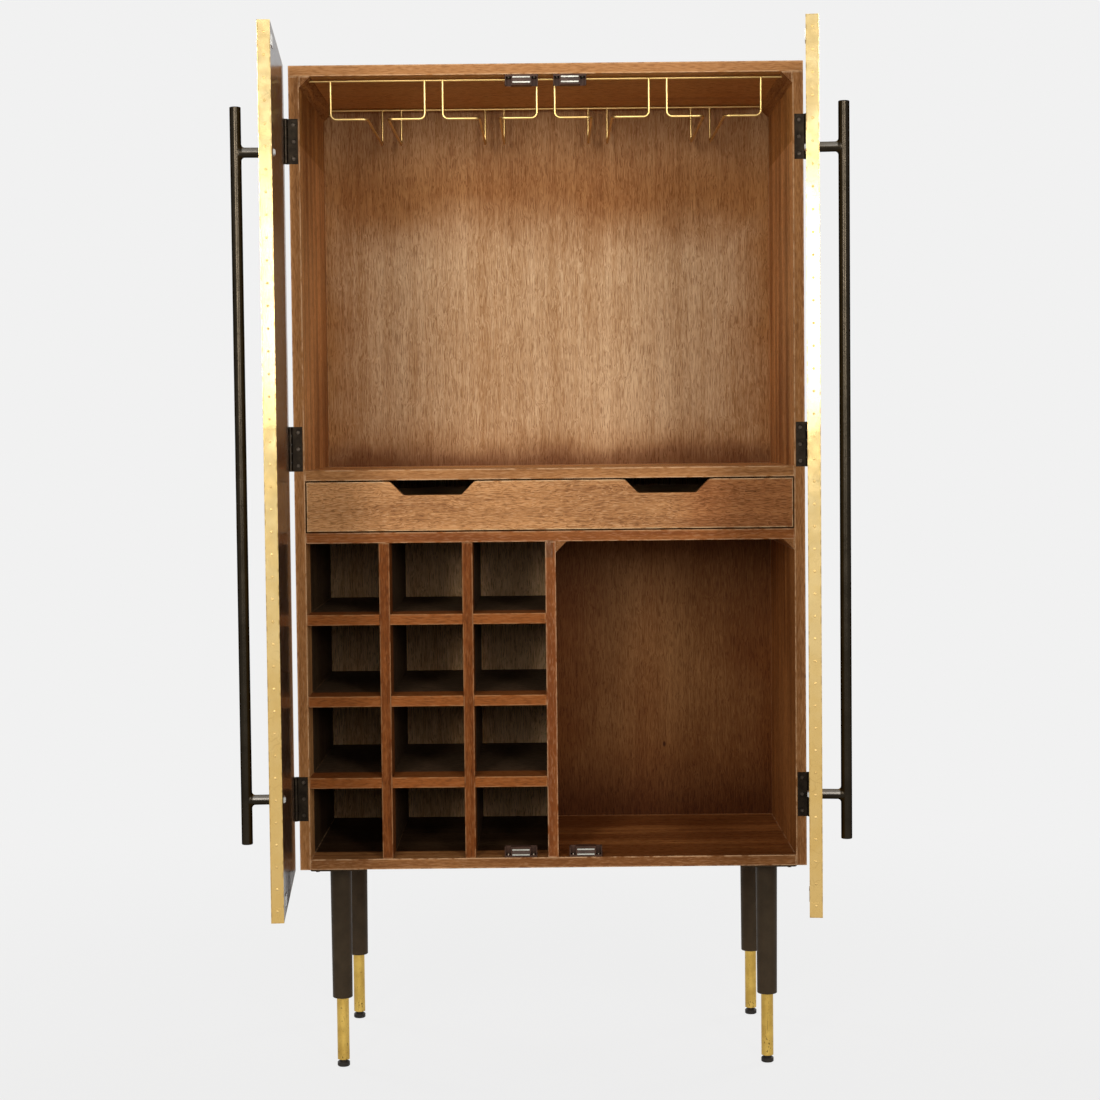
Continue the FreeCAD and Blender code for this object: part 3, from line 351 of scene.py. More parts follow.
@dataclass(frozen=True)
class Plank(Finish):
    """One board's own cut of a wood, with paler edges along that board, partly from use and partly painted
    highlight.
    """

    wood: Wood
    node: str
    grain: Grain
    tone: float = 0.0

    def shift(self) -> Triple:
        """A place in the pattern that no other board shares."""
        number = sum(ord(letter) * (index + 3) for index, letter in enumerate(self.node))
        return (number % 17 * 0.37, number % 29 * 0.23, number % 41 * 0.61)

    def along_grain(self, tree: Tree) -> Term:
        """Coordinates whose third part runs along the grain and wanders a little sideways.

        Args:
            tree: The tree to work in.

        Returns:
            The turned, shifted and wavering coordinates.
        """
        turned = [tree.xyz[(self.grain.value + step) % 3] for step in (1, 2, 3)]
        flat = tree.mapped(tree.join(turned), shift=self.shift())
        drift = tree.noise(flat, self.wood.drift) - 0.5
        ripple = tree.noise(flat, self.wood.ripple, 1.0) - 0.5
        side, thick, along = tree.split(flat)
        sway = (drift * self.wood.drift_pull + ripple) * self.wood.waver
        return tree.join([side + sway, thick + sway, along])

    def shade(self, tree: Tree) -> None:
        """Grain, pores, streaks, staining and painted shade, and paler edges, partly from use and partly
        painted highlight.

        Args:
            tree: The tree to fill.
        """
        wood, grain = self.wood, self.along_grain(tree)
        streak = tree.noise(grain, wood.streaks, 4.0, 0.62)
        ribbon = tree.noise(grain, wood.ribbons, 3.0)
        cloud = tree.noise(grain, wood.clouds, 3.0)
        across, along = 1 / wood.pore_width, 1 / wood.pore_length
        dashes = tree.noise(grain, (across, across, along), 2.0, 0.55)
        pores = dashes.rise(*wood.pore_step)
        flecks = 1.0 - dashes.rise(*wood.fleck_step)
        parts = [part * share for part, share in zip((streak, ribbon, cloud), wood.shares)]
        tone = (parts[0] + parts[1] + parts[2] + self.tone).rise(*wood.tone_step)
        colour = tree.mix(tone, wood.deep, wood.pale)
        if wood.lip is not None:
            front = 1.0 - tree.xyz[1].rise(wood.lip_start * wood.lip_depth, wood.lip_depth)
            colour = tree.mix(front, colour, tree.mix(tone, *wood.lip))
            pores = pores * (1.0 - front * wood.lip_fill)
        colour = tree.mix(flecks * wood.fleck, colour, wood.worn)
        colour = tree.mix(pores * wood.pore_strength, colour, wood.pore)
        # Tints by place: staining in the rack and on marks, painted shade in the lower right compartment,
        # under the ceiling and at the drawer front's right end.
        for stain in wood.stains:
            colour = tree.mix(stain.share(tree), colour, stain.colour, "MULTIPLY")
        # Paler edges: partly from use, partly painted highlight where the eased edges catch the light.
        rub = tree.noise(tree.mapped(tree.place, shift=self.shift()), wood.rub, 3.0, 0.6)
        edge = box_edge(tree.xyz, *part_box(self.node)) + (rub - 0.5) * wood.wear_width
        worn = 1.0 - edge.rise(wood.wear_start * wood.wear_width, wood.wear_width)
        colour = tree.mix(worn * rub.rise(*wood.rub_step) * wood.wear, colour, wood.worn)
        rough = wood.roughness + pores * wood.pore_roughness + (cloud - 0.5) * wood.cloud_roughness
        tree.surface(Base_Color=self.tint(tree, colour), Roughness=rough,
                     Specular_IOR_Level=wood.specular, Normal=self.normal(tree, pores))

    def tint(self, tree: Tree, colour: Term) -> Term:
        """The colour as it is; a board with marks of its own adds them here."""
        return colour

    def normal(self, tree: Tree, pores: Term) -> Term:
        """The surface's lie: pores sunk into it."""
        return tree.bump(1.0 - pores, self.wood.relief, self.wood.relief_depth)


@dataclass(frozen=True)
class DoorFace(Plank):
    """A door's lacquered board, a little bowed, with a flat strip by the upper hinges."""

    bow: float = 0.08
    flat: float = 0.05
    flat_above: float = 0.95

    def normal(self, tree: Tree, pores: Term) -> Term:
        """The surface's lie: leaning towards the open side.

        Args:
            tree: The tree to work in.
            pores: The pores, which the lacquer fills.

        Returns:
            The normal.
        """
        _, depth, level = tree.xyz
        strip = level.rise(self.flat_above - self.flat, self.flat_above + self.flat) * self.flat
        return tree.bump((depth + strip).least(0.0), 1.0, self.bow)


@dataclass(frozen=True)
class Patch:
    """A compartment's share of the back board, with its own tint and a darker border, partly burnished and
    partly painted shade.
    """

    left: float
    right: float
    foot: float
    head: float
    stain: Colour = WHITE
    burn: float = 1.0
    pulls: Triple = (1.8, 1.8, 1.6)
    head_drop: float = 0.155
    shade: float = 0.05

    def margins(self, tree: Tree) -> List[Term]:
        """The distances in from the sides, the foot and the head, below 0 outside."""
        x, _, z = tree.xyz
        return [(x - self.left).least(self.right - x), z - self.foot, self.head - z]


@dataclass(frozen=True)
class BackPlank(Plank):
    """The back board, darker round the border of each compartment, partly burnished and partly painted shade,
    and plain behind.
    """

    patches: Tuple[Patch, ...] = ()
    # Colour of the darker border: partly burnish, partly painted shade.
    rim: Colour = (0.62, 0.43, 0.245)
    rim_span: Pair = (-0.03, 0.16)
    rim_smoke: float = 0.16
    head_ease: float = 0.3
    head_span: Pair = (0.03, 0.14)
    # Colour of the painted shadow along each compartment's foot.
    shade_colour: Colour = (0.52, 0.45, 0.46)
    shade_smoke: float = 0.06
    smoke: Triple = (7.0, 7.0, 9.0)
    raw: Colour = (0.26, 0.16, 0.085)
    raw_share: float = 0.7
    face_y: float = 0.3815
    knot: Pair = (0.187, 0.447)
    knot_squash: float = 0.6
    knot_span: Pair = (1.0 * MM, 4.0 * MM)
    knot_colour: Colour = (0.3, 0.22, 0.16)

    def tint(self, tree: Tree, colour: Term) -> Term:
        """Tint the compartments (painted light behind the rack, painted shade in the lower right), darken
        their borders with burnish and painted shade, paint a shadow along their feet, set a knot and dull the
        rear face.

        Args:
            tree: The tree to work in.
            colour: The wood's colour.

        Returns:
            The board's colour.
        """
        x, y, z = tree.xyz
        behind = y.rise(self.face_y, self.face_y + 2 * MM)
        before = 1.0 - behind
        across, up = x - self.knot[0], (z - self.knot[1]) * self.knot_squash
        knot = 1.0 - (across * across + up * up).root().rise(*self.knot_span)
        colour = tree.mix(knot * before, colour, self.knot_colour, "MULTIPLY")
        smoke = tree.noise(tree.place, self.smoke, 3.0, 0.55) - 0.5
        for patch in self.patches:
            side, foot, head = patch.margins(tree)
            inside = side.least(foot).least(head).rise(-MM, MM) * before
            pulled = (side, foot, head - patch.head_drop)
            left, low, high = [part * pull for part, pull in zip(pulled, patch.pulls)]
            # Darker border, partly burnish and partly painted shade, with a painted shadow band hanging below
            # the head.
            burnished_and_shaded = 1.0 - (left.least(low).least(high) + smoke * self.rim_smoke).rise(*self.rim_span)
            burnished_and_shaded = burnished_and_shaded * (1.0 - self.head_ease + self.head_ease * head.rise(*self.head_span))
            # Painted shadow along the foot of the compartment.
            shaded = 1.0 - (foot + smoke * self.shade_smoke).rise(0.0, patch.shade)
            colour = tree.mix(inside * burnished_and_shaded * patch.burn, colour, self.rim, "MULTIPLY")
            colour = tree.mix(inside * shaded * patch.burn, colour, self.shade_colour, "MULTIPLY")
            # The compartment's own tint: painted light behind the rack, painted shade in the lower right.
            colour = tree.mix(inside, colour, patch.stain, "MULTIPLY")
        return tree.mix(behind * self.raw_share, colour, self.raw)


@dataclass(frozen=True)
class Metal(Finish):
    """Bare or plated metal with clouded tone, fine lines and specks."""

    bright: Colour
    dull: Colour
    rough: Pair = (0.28, 0.42)
    cloud: float = 30.0
    cloud_step: Pair = (0.3, 0.7)
    smudge: float = 2.3
    lines: Triple = (900.0, 900.0, 40.0)
    line_step: Pair = (0.4, 0.8)
    line_strength: float = 0.15
    groove: float = 0.12
    groove_depth: float = 0.15 * MM
    speck: float = 0.0
    speck_scale: float = 620.0
    speck_step: Pair = (0.66, 0.74)
    speck_roughness: float = 0.3
    speck_colour: Colour = (0.05, 0.035, 0.02)
    edge_tint: Colour = WHITE

    def tone(self, tree: Tree) -> Term:
        """The clouded colour."""
        clouds = tree.noise(tree.place, self.cloud, 4.0, 0.6).rise(*self.cloud_step)
        return tree.mix(clouds, self.dull, self.bright)

    def shade(self, tree: Tree) -> None:
        """Clouded tone, drawn lines, specks and smudges.

        Args:
            tree: The tree to fill.
        """
        colour = self.tone(tree)
        lines = tree.noise(tree.place, self.lines, 2.0, 0.6)
        specks = tree.noise(tree.place, self.speck_scale, 2.0, 0.6).rise(*self.speck_step) * self.speck
        colour = tree.mix(lines.rise(*self.line_step) * self.line_strength, colour, self.dull)
        colour = tree.mix(specks, colour, self.speck_colour)
        low, high = self.rough
        smudge = tree.noise(tree.place, self.smudge * self.cloud, 3.0, 0.6).rise(*self.cloud_step)
        tree.surface(Base_Color=colour, Metallic=1.0 - specks, Specular_Tint=self.edge_tint,
                     Roughness=low + smudge * (high - low) + specks * self.speck_roughness,
                     Normal=tree.bump(lines, self.groove, self.groove_depth))


@dataclass(frozen=True)
class BrassSheet(Metal):
    """Thin brass over a door, paler above and deeper at its foot as painted shade, with faint creases, spots
    and scuffed corners.
    """

    # The deeper colour of the painted shade at the foot.
    deep: Colour = (0.62, 0.37, 0.09)
    deep_share: float = 0.75
    smoke: float = 7.0
    smoke_reach: float = 0.25
    fall_span: Pair = (-0.1, -0.25)
    crease: Colour = (0.42, 0.26, 0.08)
    crease_cells: float = 48.0
    crease_width: float = 0.05
    crease_share: float = 0.35
    warp: float = 0.02
    rub_span: Pair = (0.2 * MM, 2.2 * MM)
    rub_share: float = 0.85
    low: Triple = (0.0, 0.0, 0.0)
    high: Triple = (0.0, 0.0, 0.0)
    turn: float = 0.0
    axis: Pair = (0.0, 0.0)

    def shut(self, tree: Tree) -> List[Term]:
        """The Object coordinates turned back to the shut door.

        Args:
            tree: The tree to work in.

        Returns:
            The three parts of the same point on the shut door.
        """
        axis = Vector((*self.axis, 0.0))
        back = Matrix.Rotation(-self.turn, 3, "Z")
        shift = tuple(axis - back @ axis)
        return tree.split(tree.mapped(tree.place, turn=(0.0, 0.0, -self.turn), shift=shift))

    def tone(self, tree: Tree) -> Term:
        """The sheet's colour: clouds, a deeper foot that is painted shade, creases and scuffed corners.

        Args:
            tree: The tree to work in.

        Returns:
            The colour.
        """
        place, shut = tree.place, self.shut(tree)
        # Painted shade: the brass darkens towards the door's foot.
        level = tree.xyz[2] + (tree.noise(place, self.smoke, 3.0) - 0.5) * self.smoke_reach
        painted_foot_shade = 1.0 - level.rise(self.low[2] + self.fall_span[0], self.high[2] + self.fall_span[1])
        colour = tree.mix(painted_foot_shade * self.deep_share, super().tone(tree), self.deep)
        warped = tree.noise(place, 60.0) * self.warp
        cells = tree.cracks(tree.join([part + warped for part in shut]), self.crease_cells)
        creased = (1.0 - cells.rise(0.0, self.crease_width)) * tree.noise(place, 22.0).rise(0.5, 0.7)
        colour = tree.mix(creased * self.crease_share, colour, self.crease)
        near = 1.0 - box_edge(shut, self.low, self.high).rise(*self.rub_span)
        rubbed = near * tree.noise(place, 75.0, 3.0, 0.65).rise(0.45, 0.6)
        return tree.mix(rubbed * self.rub_share, colour, self.crease)


@dataclass(frozen=True)
class HandleMetal(Metal):
    """Dark metal with a painted highlight along the short posts of a handle."""

    post_radius: float = 9.0 * MM
    reach: float = 0.4
    rubbed: Colour = (0.34, 0.31, 0.27)
    rub: float = 0.6

    def tone(self, tree: Tree) -> Term:
        """The clouded colour, with a painted highlight over the top of each post.

        Args:
            tree: The tree to work in.

        Returns:
            The colour.
        """
        colour = super().tone(tree)
        inside = 1.0 - tree.xyz[0].size().rise(self.reach - 2 * MM, self.reach)
        # Painted highlight over the upper half of each post, off the bar.
        for post in POST_LEVELS:
            above = tree.xyz[2] - post
            near = above.rise(-MM, 3 * MM) - above.rise(self.post_radius, self.post_radius + MM)
            colour = tree.mix(near * inside * self.rub, colour, self.rubbed)
        return colour


@dataclass(frozen=True)
class ScrewMetal(Metal):
    """Metal with painted shade in its recesses, where a mesh marks any."""

    grime: Colour = (0.006, 0.005, 0.004)

    def tone(self, tree: Tree) -> Term:
        """The clouded colour, painted black as shade in the marked recesses."""
        sunk = tree.read("Attribute", output="Fac", attribute_name=RECESS)
        return tree.mix(sunk.rise(0.1, 0.7), super().tone(tree), self.grime)


@dataclass(frozen=True)
class ChippedMetal(Metal):
    """Plated metal chipped and scratched dark, most of all towards its foot."""

    chip_colour: Colour = (0.05, 0.03, 0.013)
    chips: Triple = (330.0, 330.0, 210.0)
    chip_step: Pair = (0.66, 0.71)
    chip_most: float = 0.85
    scratches: Triple = (420.0, 420.0, 28.0)
    scratch_step: Pair = (0.66, 0.72)
    scratch_share: float = 0.35
    foot: Pair = (0.014, 0.055)
    foot_pull: float = 0.06

    def tone(self, tree: Tree) -> Term:
        """The clouded colour with chips and upright scratches.

        Args:
            tree: The tree to work in.

        Returns:
            The colour.
        """
        low = 1.0 - tree.xyz[2].rise(*self.foot)
        chips = tree.noise(tree.place, self.chips, 3.0, 0.6) + low * self.foot_pull
        scratches = tree.noise(tree.place, self.scratches).rise(*self.scratch_step) * self.scratch_share
        bare = (chips.rise(*self.chip_step) + scratches).least(self.chip_most)
        return tree.mix(bare, super().tone(tree), self.chip_colour)


@dataclass(frozen=True)
class Coating(Finish):
    """Paint, lacquer or moulded plastic with soft blotches, a fine skin and scuffs."""

    colour: Colour
    blotch: Colour
    rough: Pair = (0.35, 0.5)
    scale: float = 35.0
    blotch_step: Pair = (0.3, 0.7)
    skin: Triple = (500.0, 500.0, 500.0)
    skin_strength: float = 0.1
    skin_depth: float = 0.2 * MM
    specular: float = 0.3
    scuff: float = 0.0
    scuffs: Triple = (130.0, 130.0, 60.0)
    scuff_step: Pair = (0.64, 0.74)
    scuff_roughness: float = 0.15
    scuff_colour: Colour = (0.2, 0.16, 0.11)

    def shade(self, tree: Tree) -> None:
        """Blotched colour under a fine skin, with scuffs.

        Args:
            tree: The tree to fill.
        """
        blotches = tree.noise(tree.place, self.scale, 4.0, 0.6).rise(*self.blotch_step)
        skin = tree.noise(tree.place, self.skin, 2.0, 0.55)
        scuffs = tree.noise(tree.place, self.scuffs, 3.0, 0.7).rise(*self.scuff_step) * self.scuff
        colour = tree.mix(scuffs, tree.mix(blotches, self.colour, self.blotch), self.scuff_colour)
        low, high = self.rough
        rough = low + (blotches * 0.5 + skin * 0.5) * (high - low) + scuffs * self.scuff_roughness
        tree.surface(Base_Color=colour, Specular_IOR_Level=self.specular, Roughness=rough,
                     Normal=tree.bump(skin, self.skin_strength, self.skin_depth))


# Tints inside the compartments: the rack's walls are stained dark, while the lower right compartment and the
# band under the ceiling get painted shade.
COMPARTMENT_STAINS_AND_SHADE = (
    Stain((-INNER_X, RACK_LIP, FLOOR_Z), (-DIVIDER_X, BACK_Y, LOWER_SHELF_Z), (0.13, 0.15, 0.2)),
    Stain((DIVIDER_X, EDGE_Y, FLOOR_Z), (INNER_X, BACK_Y, LOWER_SHELF_Z), (0.72, 0.57, 0.43)),
    Stain((-INNER_X, EDGE_Y, HANGER_Z), (INNER_X, BACK_Y, CEILING_Z), (0.72, 0.66, 0.5)))
SHELF_PATCH = Stain((-0.007, -0.01, 0.782), (0.003, 0.0015, 0.806), (0.72, 0.9, 1.3), 0.7 * MM)
# Painted shade: the drawer front darkens towards its right end.
DRAWER_END_SHADE = Stain((0.32, -0.1, 0.8), (0.5, 0.1, 1.0), (0.7, 0.56, 0.47), 0.08)
DRAWER_SCRATCH = Stain((0.293, -0.1, 0.8773), (0.309, 0.01, 0.8777), (0.2, 0.16, 0.13), 0.3 * MM)
HARDWOOD = Wood("stained_hardwood", (0.77, 0.38, 0.136), (0.24, 0.084, 0.021), (0.1, 0.034, 0.01),
                (0.74, 0.46, 0.25), wear=0.6, lip=((0.19, 0.069, 0.019), (0.4, 0.175, 0.057)),
                stains=COMPARTMENT_STAINS_AND_SHADE)
REDWOOD = replace(HARDWOOD, name="reddened_hardwood", wear=0.4,
                  lip=((0.17, 0.044, 0.0085), (0.32, 0.108, 0.026)), stains=(*COMPARTMENT_STAINS_AND_SHADE, SHELF_PATCH))
BACK_BOARD = Wood("back_board", (0.6, 0.39, 0.212), (0.4, 0.215, 0.09), (0.2, 0.085, 0.03),
                  (0.78, 0.56, 0.34), pore_strength=0.64, pore_width=0.95 * MM, pore_length=24.0 * MM,
                  fleck=0.34, waver=3.2 * MM, wear=0.0, roughness=0.42)
RACK_BOARD = Wood("rack_board", (0.075, 0.045, 0.025), (0.04, 0.023, 0.013), (0.02, 0.011, 0.006),
                  (0.5, 0.27, 0.12), wear=0.4, specular=0.03,
                  lip=((0.105, 0.0245, 0.004), (0.25, 0.074, 0.016)), lip_depth=RACK_LIP)
DRAWER_BOARD = Wood("drawer_front_board", (0.52, 0.245, 0.09), (0.26, 0.103, 0.033), (0.1, 0.037, 0.013),
                    (0.72, 0.46, 0.24), pore_strength=0.6, pore_width=1.15 * MM, pore_length=13.0 * MM,
                    fleck=0.3, waver=5.0 * MM, wear=0.8, stains=(DRAWER_END_SHADE, DRAWER_SCRATCH))
# Darkened as painted shade: the drawer's inside stays unlit behind its cutouts.
SOFTWOOD_DARKENED_AS_SHADE = Wood("plain_softwood", (0.34, 0.2, 0.095), (0.25, 0.14, 0.062), (0.17, 0.09, 0.04),
                (0.4, 0.25, 0.13), pore_strength=0.25, roughness=0.62)
LACQUERED = Wood("dark_lacquered_board", (0.07, 0.034, 0.017), (0.035, 0.017, 0.009), (0.018, 0.009, 0.005),
                 (0.1, 0.05, 0.025), pore_strength=0.3, wear=0.0, roughness=0.16, specular=0.35, relief=0.0)
DOWEL_WOOD = Coating("pale_dowel", (0.55, 0.38, 0.22), (0.48, 0.31, 0.17), (0.6, 0.7),
                     skin=(700.0, 700.0, 60.0))
BRASS_SHEET = BrassSheet("brass_sheet", (0.95, 0.74, 0.365), (0.85, 0.61, 0.25), rough=(0.1, 0.16),
                         cloud=18.0, lines=(500.0, 500.0, 120.0), line_strength=0.12, speck=0.35,
                         speck_colour=(0.3, 0.18, 0.06))
BRASS_NAIL = Metal("brass_nail", (0.56, 0.39, 0.155), (0.42, 0.28, 0.1), rough=(0.5, 0.62), speck=0.3)
BRASS_WIRE = Metal("brass_wire", (0.7, 0.49, 0.19), (0.58, 0.39, 0.135), rough=(0.34, 0.42),
                   line_strength=0.05, groove=0.0)
AGED_BRASS = ChippedMetal("aged_brass", (0.64, 0.425, 0.1), (0.46, 0.285, 0.06), rough=(0.34, 0.5),
                          speck=0.6)
DARK_BRONZE = HandleMetal("blackened_bronze", (0.028, 0.022, 0.015), (0.021, 0.0165, 0.011),
                          rough=(0.24, 0.3), line_strength=0.3, groove=0.02, speck=0.03,
                          speck_colour=(0.1, 0.075, 0.04), edge_tint=(0.12, 0.1, 0.08))
LEG_PAINT = Coating("black_leg_paint", (0.056, 0.038, 0.022), (0.042, 0.029, 0.017), (0.36, 0.46),
                    skin=(260.0, 260.0, 26.0), skin_strength=0.12, specular=0.05, scuff=0.25,
                    scuff_colour=(0.06, 0.045, 0.03))
HINGE_STEEL = Metal("black_hinge_steel", (0.036, 0.026, 0.017), (0.017, 0.0125, 0.009), rough=(0.34, 0.5),
                    cloud=90.0, speck=0.5, speck_colour=(0.1, 0.062, 0.035), edge_tint=(0.16, 0.13, 0.1))
SCREW_STEEL = ScrewMetal("dark_screw", (0.15, 0.115, 0.085), (0.09, 0.068, 0.05), rough=(0.3, 0.42),
                         speck=0.3, edge_tint=(0.4, 0.34, 0.28))
BRIGHT_STEEL = ScrewMetal("bright_steel", (0.62, 0.6, 0.55), (0.42, 0.41, 0.38), rough=(0.22, 0.38),
                          speck=0.3)
DULL_NICKEL = Metal("dull_nickel", (0.43, 0.415, 0.36), (0.31, 0.295, 0.25), rough=(0.46, 0.6), speck=0.3)
FERRITE = Coating("grey_ferrite", (0.1, 0.058, 0.042), (0.055, 0.034, 0.026), (0.5, 0.65), specular=0.2)
BROWN_PLASTIC = Coating("brown_plastic", (0.075, 0.036, 0.023), (0.045, 0.023, 0.015), (0.34, 0.46),
                        specular=0.08)
BLACK_PLASTIC = Coating("black_plastic", (0.028, 0.022, 0.016), (0.016, 0.013, 0.011), (0.42, 0.6),
                        specular=0.2, scuff=0.5, scuff_colour=(0.1, 0.08, 0.05))


Board = Tuple[Wood, str, Grain, float]
Group = Tuple[Finish, Tuple[str, ...]]


def solid(name: str) -> bpy.types.Object:
    """A node of the frame."""
    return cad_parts[name]


def linked(name: str, data: bpy.types.ID) -> bpy.types.Object:
    """A new object in the scene.

    Args:
        name: Its name.
        data: Its mesh, camera or light.

    Returns:
        The object.
    """
    made = bpy.data.objects.new(name, data)
    bpy.context.scene.collection.objects.link(made)
    return made


def meshed(name: str, shape: bmesh.types.BMesh) -> bpy.types.Object:
    """A new mesh object in the scene.

    Args:
        name: Its name.
        shape: Its mesh, in the frame's axes; freed here.

    Returns:
        The object.
    """
    mesh = bpy.data.meshes.new(name)
    shape.to_mesh(mesh)
    shape.free()
    return linked(name, mesh)


def piece(name: str, shape: bmesh.types.BMesh, body: str, finish: Finish, slot: str, *replaced: str) -> None:
    """Turn a finished shape into a piece that rides on a body.

    Args:
        name: The piece's name.
        shape: Its mesh, in the frame's axes; freed here.
        body: The body that it moves with.
        finish: Its finish.
        slot: The record's material slot for that finish; not used here.
        *replaced: The nodes that it stands for.
    """
    made = meshed(name, shape)
    finish.dress(made)
    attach(made, body)
    if replaced:
        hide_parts(*replaced)
    LOG.info("%s: %d faces on %s", name, len(made.data.polygons), body)


@dataclass(frozen=True)
class CrossScrew:
    """A screw with a cross recess, standing along -Z with its head's seat at Z = 0.

    A sink makes its head a flat cone, and a rise makes it a low dome.
    """

    head: float
    shank: float
    length: float
    rise: float = 0.0
    sink: float = 0.0
    drop: float = 0.0
    segments: int = 20
    shank_segments: int = 10
    dome_share: float = 0.72
    tip_share: float = 0.3
    arm_share: float = 0.8
    slot_share: float = 0.22
    recess_share: float = 0.17
    floor_share: float = 0.86

    def shape(self) -> bmesh.types.BMesh:
        """One screw's mesh.

        Returns:
            A head with a sunk cross, whose floor is marked, over a plain shank.
        """
        shape = bmesh.new()
        mark = shape.verts.layers.float.new(RECESS)
        radius = self.head / 2
        if self.sink:
            lower, upper, depth, middle = self.shank / 2, radius, self.sink, -self.sink / 2
        else:
            lower, upper, depth, middle = radius, self.dome_share * radius, self.rise, self.rise / 2
        bmesh.ops.create_cone(shape, cap_ends=True, segments=self.segments, radius1=lower, radius2=upper,
                              depth=depth, matrix=Matrix.Translation((0, 0, middle)))
        arm, slot = self.arm_share * upper, self.slot_share * self.head
        for axis in (Vector((1, 0, 0)), Vector((0, 1, 0))):
            for reach in (-arm, -slot, slot, arm):
                parts = shape.verts[:] + shape.edges[:] + shape.faces[:]
                bmesh.ops.bisect_plane(shape, geom=parts, dist=1e-7, plane_co=axis * reach, plane_no=axis)
        cross = [face for face in shape.faces if face.normal.z > 0.9 and self.in_cross(face, arm, slot)]
        sunk = bmesh.ops.extrude_face_region(shape, geom=cross)["geom"]
        floor = [part for part in sunk if isinstance(part, bmesh.types.BMVert)]
        bmesh.ops.delete(shape, geom=cross, context="FACES")
        bmesh.ops.translate(shape, verts=floor, vec=(0, 0, -self.recess_share * self.head))
        bmesh.ops.scale(shape, verts=floor, vec=(self.floor_share, self.floor_share, 1.0))
        for vert in floor:
            vert[mark] = 1.0
        bmesh.ops.create_cone(shape, cap_ends=True, segments=self.shank_segments,
                              radius1=self.tip_share * self.shank, radius2=self.shank / 2, depth=self.length,
                              matrix=Matrix.Translation((0, 0, -(self.length + self.sink) / 2)))
        bmesh.ops.translate(shape, verts=shape.verts, vec=(0, 0, -self.drop))
        return shape

    @staticmethod
    def in_cross(face: bmesh.types.BMFace, arm: float, slot: float) -> bool:
        """Whether a face lies in the cross."""
        x, y, _ = (abs(part) for part in face.calc_center_median())
        return (x < slot and y < arm) or (y < slot and x < arm)

    def stamp(self, target: bmesh.types.BMesh, seats: Sequence[Seat]) -> None:
        """Add screws to a mesh.

        Args:
            target: The mesh to add to.
            seats: Each screw's seat, outward direction and turn about it.
        """
        pattern = bpy.data.meshes.new("screw_pattern")
        shape = self.shape()
        shape.to_mesh(pattern)
        shape.free()
        for seat, outward, spin in seats:
            first = len(target.verts)
            target.from_mesh(pattern)
            target.verts.ensure_lookup_table()
            turn = Vector((0, 0, 1)).rotation_difference(outward).to_matrix().to_4x4()
            spun = Matrix.Translation(seat) @ turn @ Matrix.Rotation(spin, 4, "Z")
            bmesh.ops.transform(target, matrix=spun, verts=target.verts[first:])
        bpy.data.meshes.remove(pattern)


HINGE_SCREW = CrossScrew(5.4 * MM, 2.8 * MM, 11.0 * MM, sink=1.1 * MM, drop=0.7 * MM)
STRIKE_SCREW = CrossScrew(5.0 * MM, 2.5 * MM, 11.0 * MM, sink=1.0 * MM)
HANDLE_BOLT = CrossScrew(11.0 * MM, 5.0 * MM, 28.0 * MM, rise=2.6 * MM)
CATCH_SCREW = CrossScrew(6.0 * MM, 3.0 * MM, 9.0 * MM, rise=2.0 * MM)
PLATE_SCREW = CrossScrew(8.0 * MM, 4.0 * MM, 13.0 * MM, rise=2.4 * MM)


@dataclass(frozen=True)
class HingeRow:
    """The places of the screws in one side's three hinges."""

    middle: float = 0.3757
    levels: Triple = (1.404, 0.947, 0.420)
    pitch: float = 25.0 * MM

    def seats(self, hand: Hand, depth: float, outward: Vector, spins: Pair) -> List[Seat]:
        """The seats of the screws in one row of leaves.

        Args:
            hand: The side of the cabinet.
            depth: The Y of the face under the leaves.
            outward: The way that the heads look.
            spins: The turn from hinge to hinge and from screw to screw.

        Returns:
            Three seats for each hinge.
        """
        return [(Vector((hand.value * self.middle, depth, level + step * self.pitch)), outward,
                 spins[0] * index + spins[1] * step)
                for index, level in enumerate(self.levels) for step in (-1, 0, 1)]


class Assembly:
    """A sub-assembly of the cabinet, dressed first and then fitted out."""

    boards: Tuple[Board, ...] = ()
    others: Tuple[Group, ...] = ()

    def dress(self) -> None:
        """Cut each board from its wood and give the other nodes their finishes."""
        for wood, node, grain, tone in self.boards:
            wood.plank(node, grain, tone).dress(solid(node))
        for finish, nodes in self.others:
            finish.dress(*[solid(node) for node in nodes])

    def build(self) -> None:
        """Add what the solids leave plain: nothing, unless the sub-assembly has such fittings."""


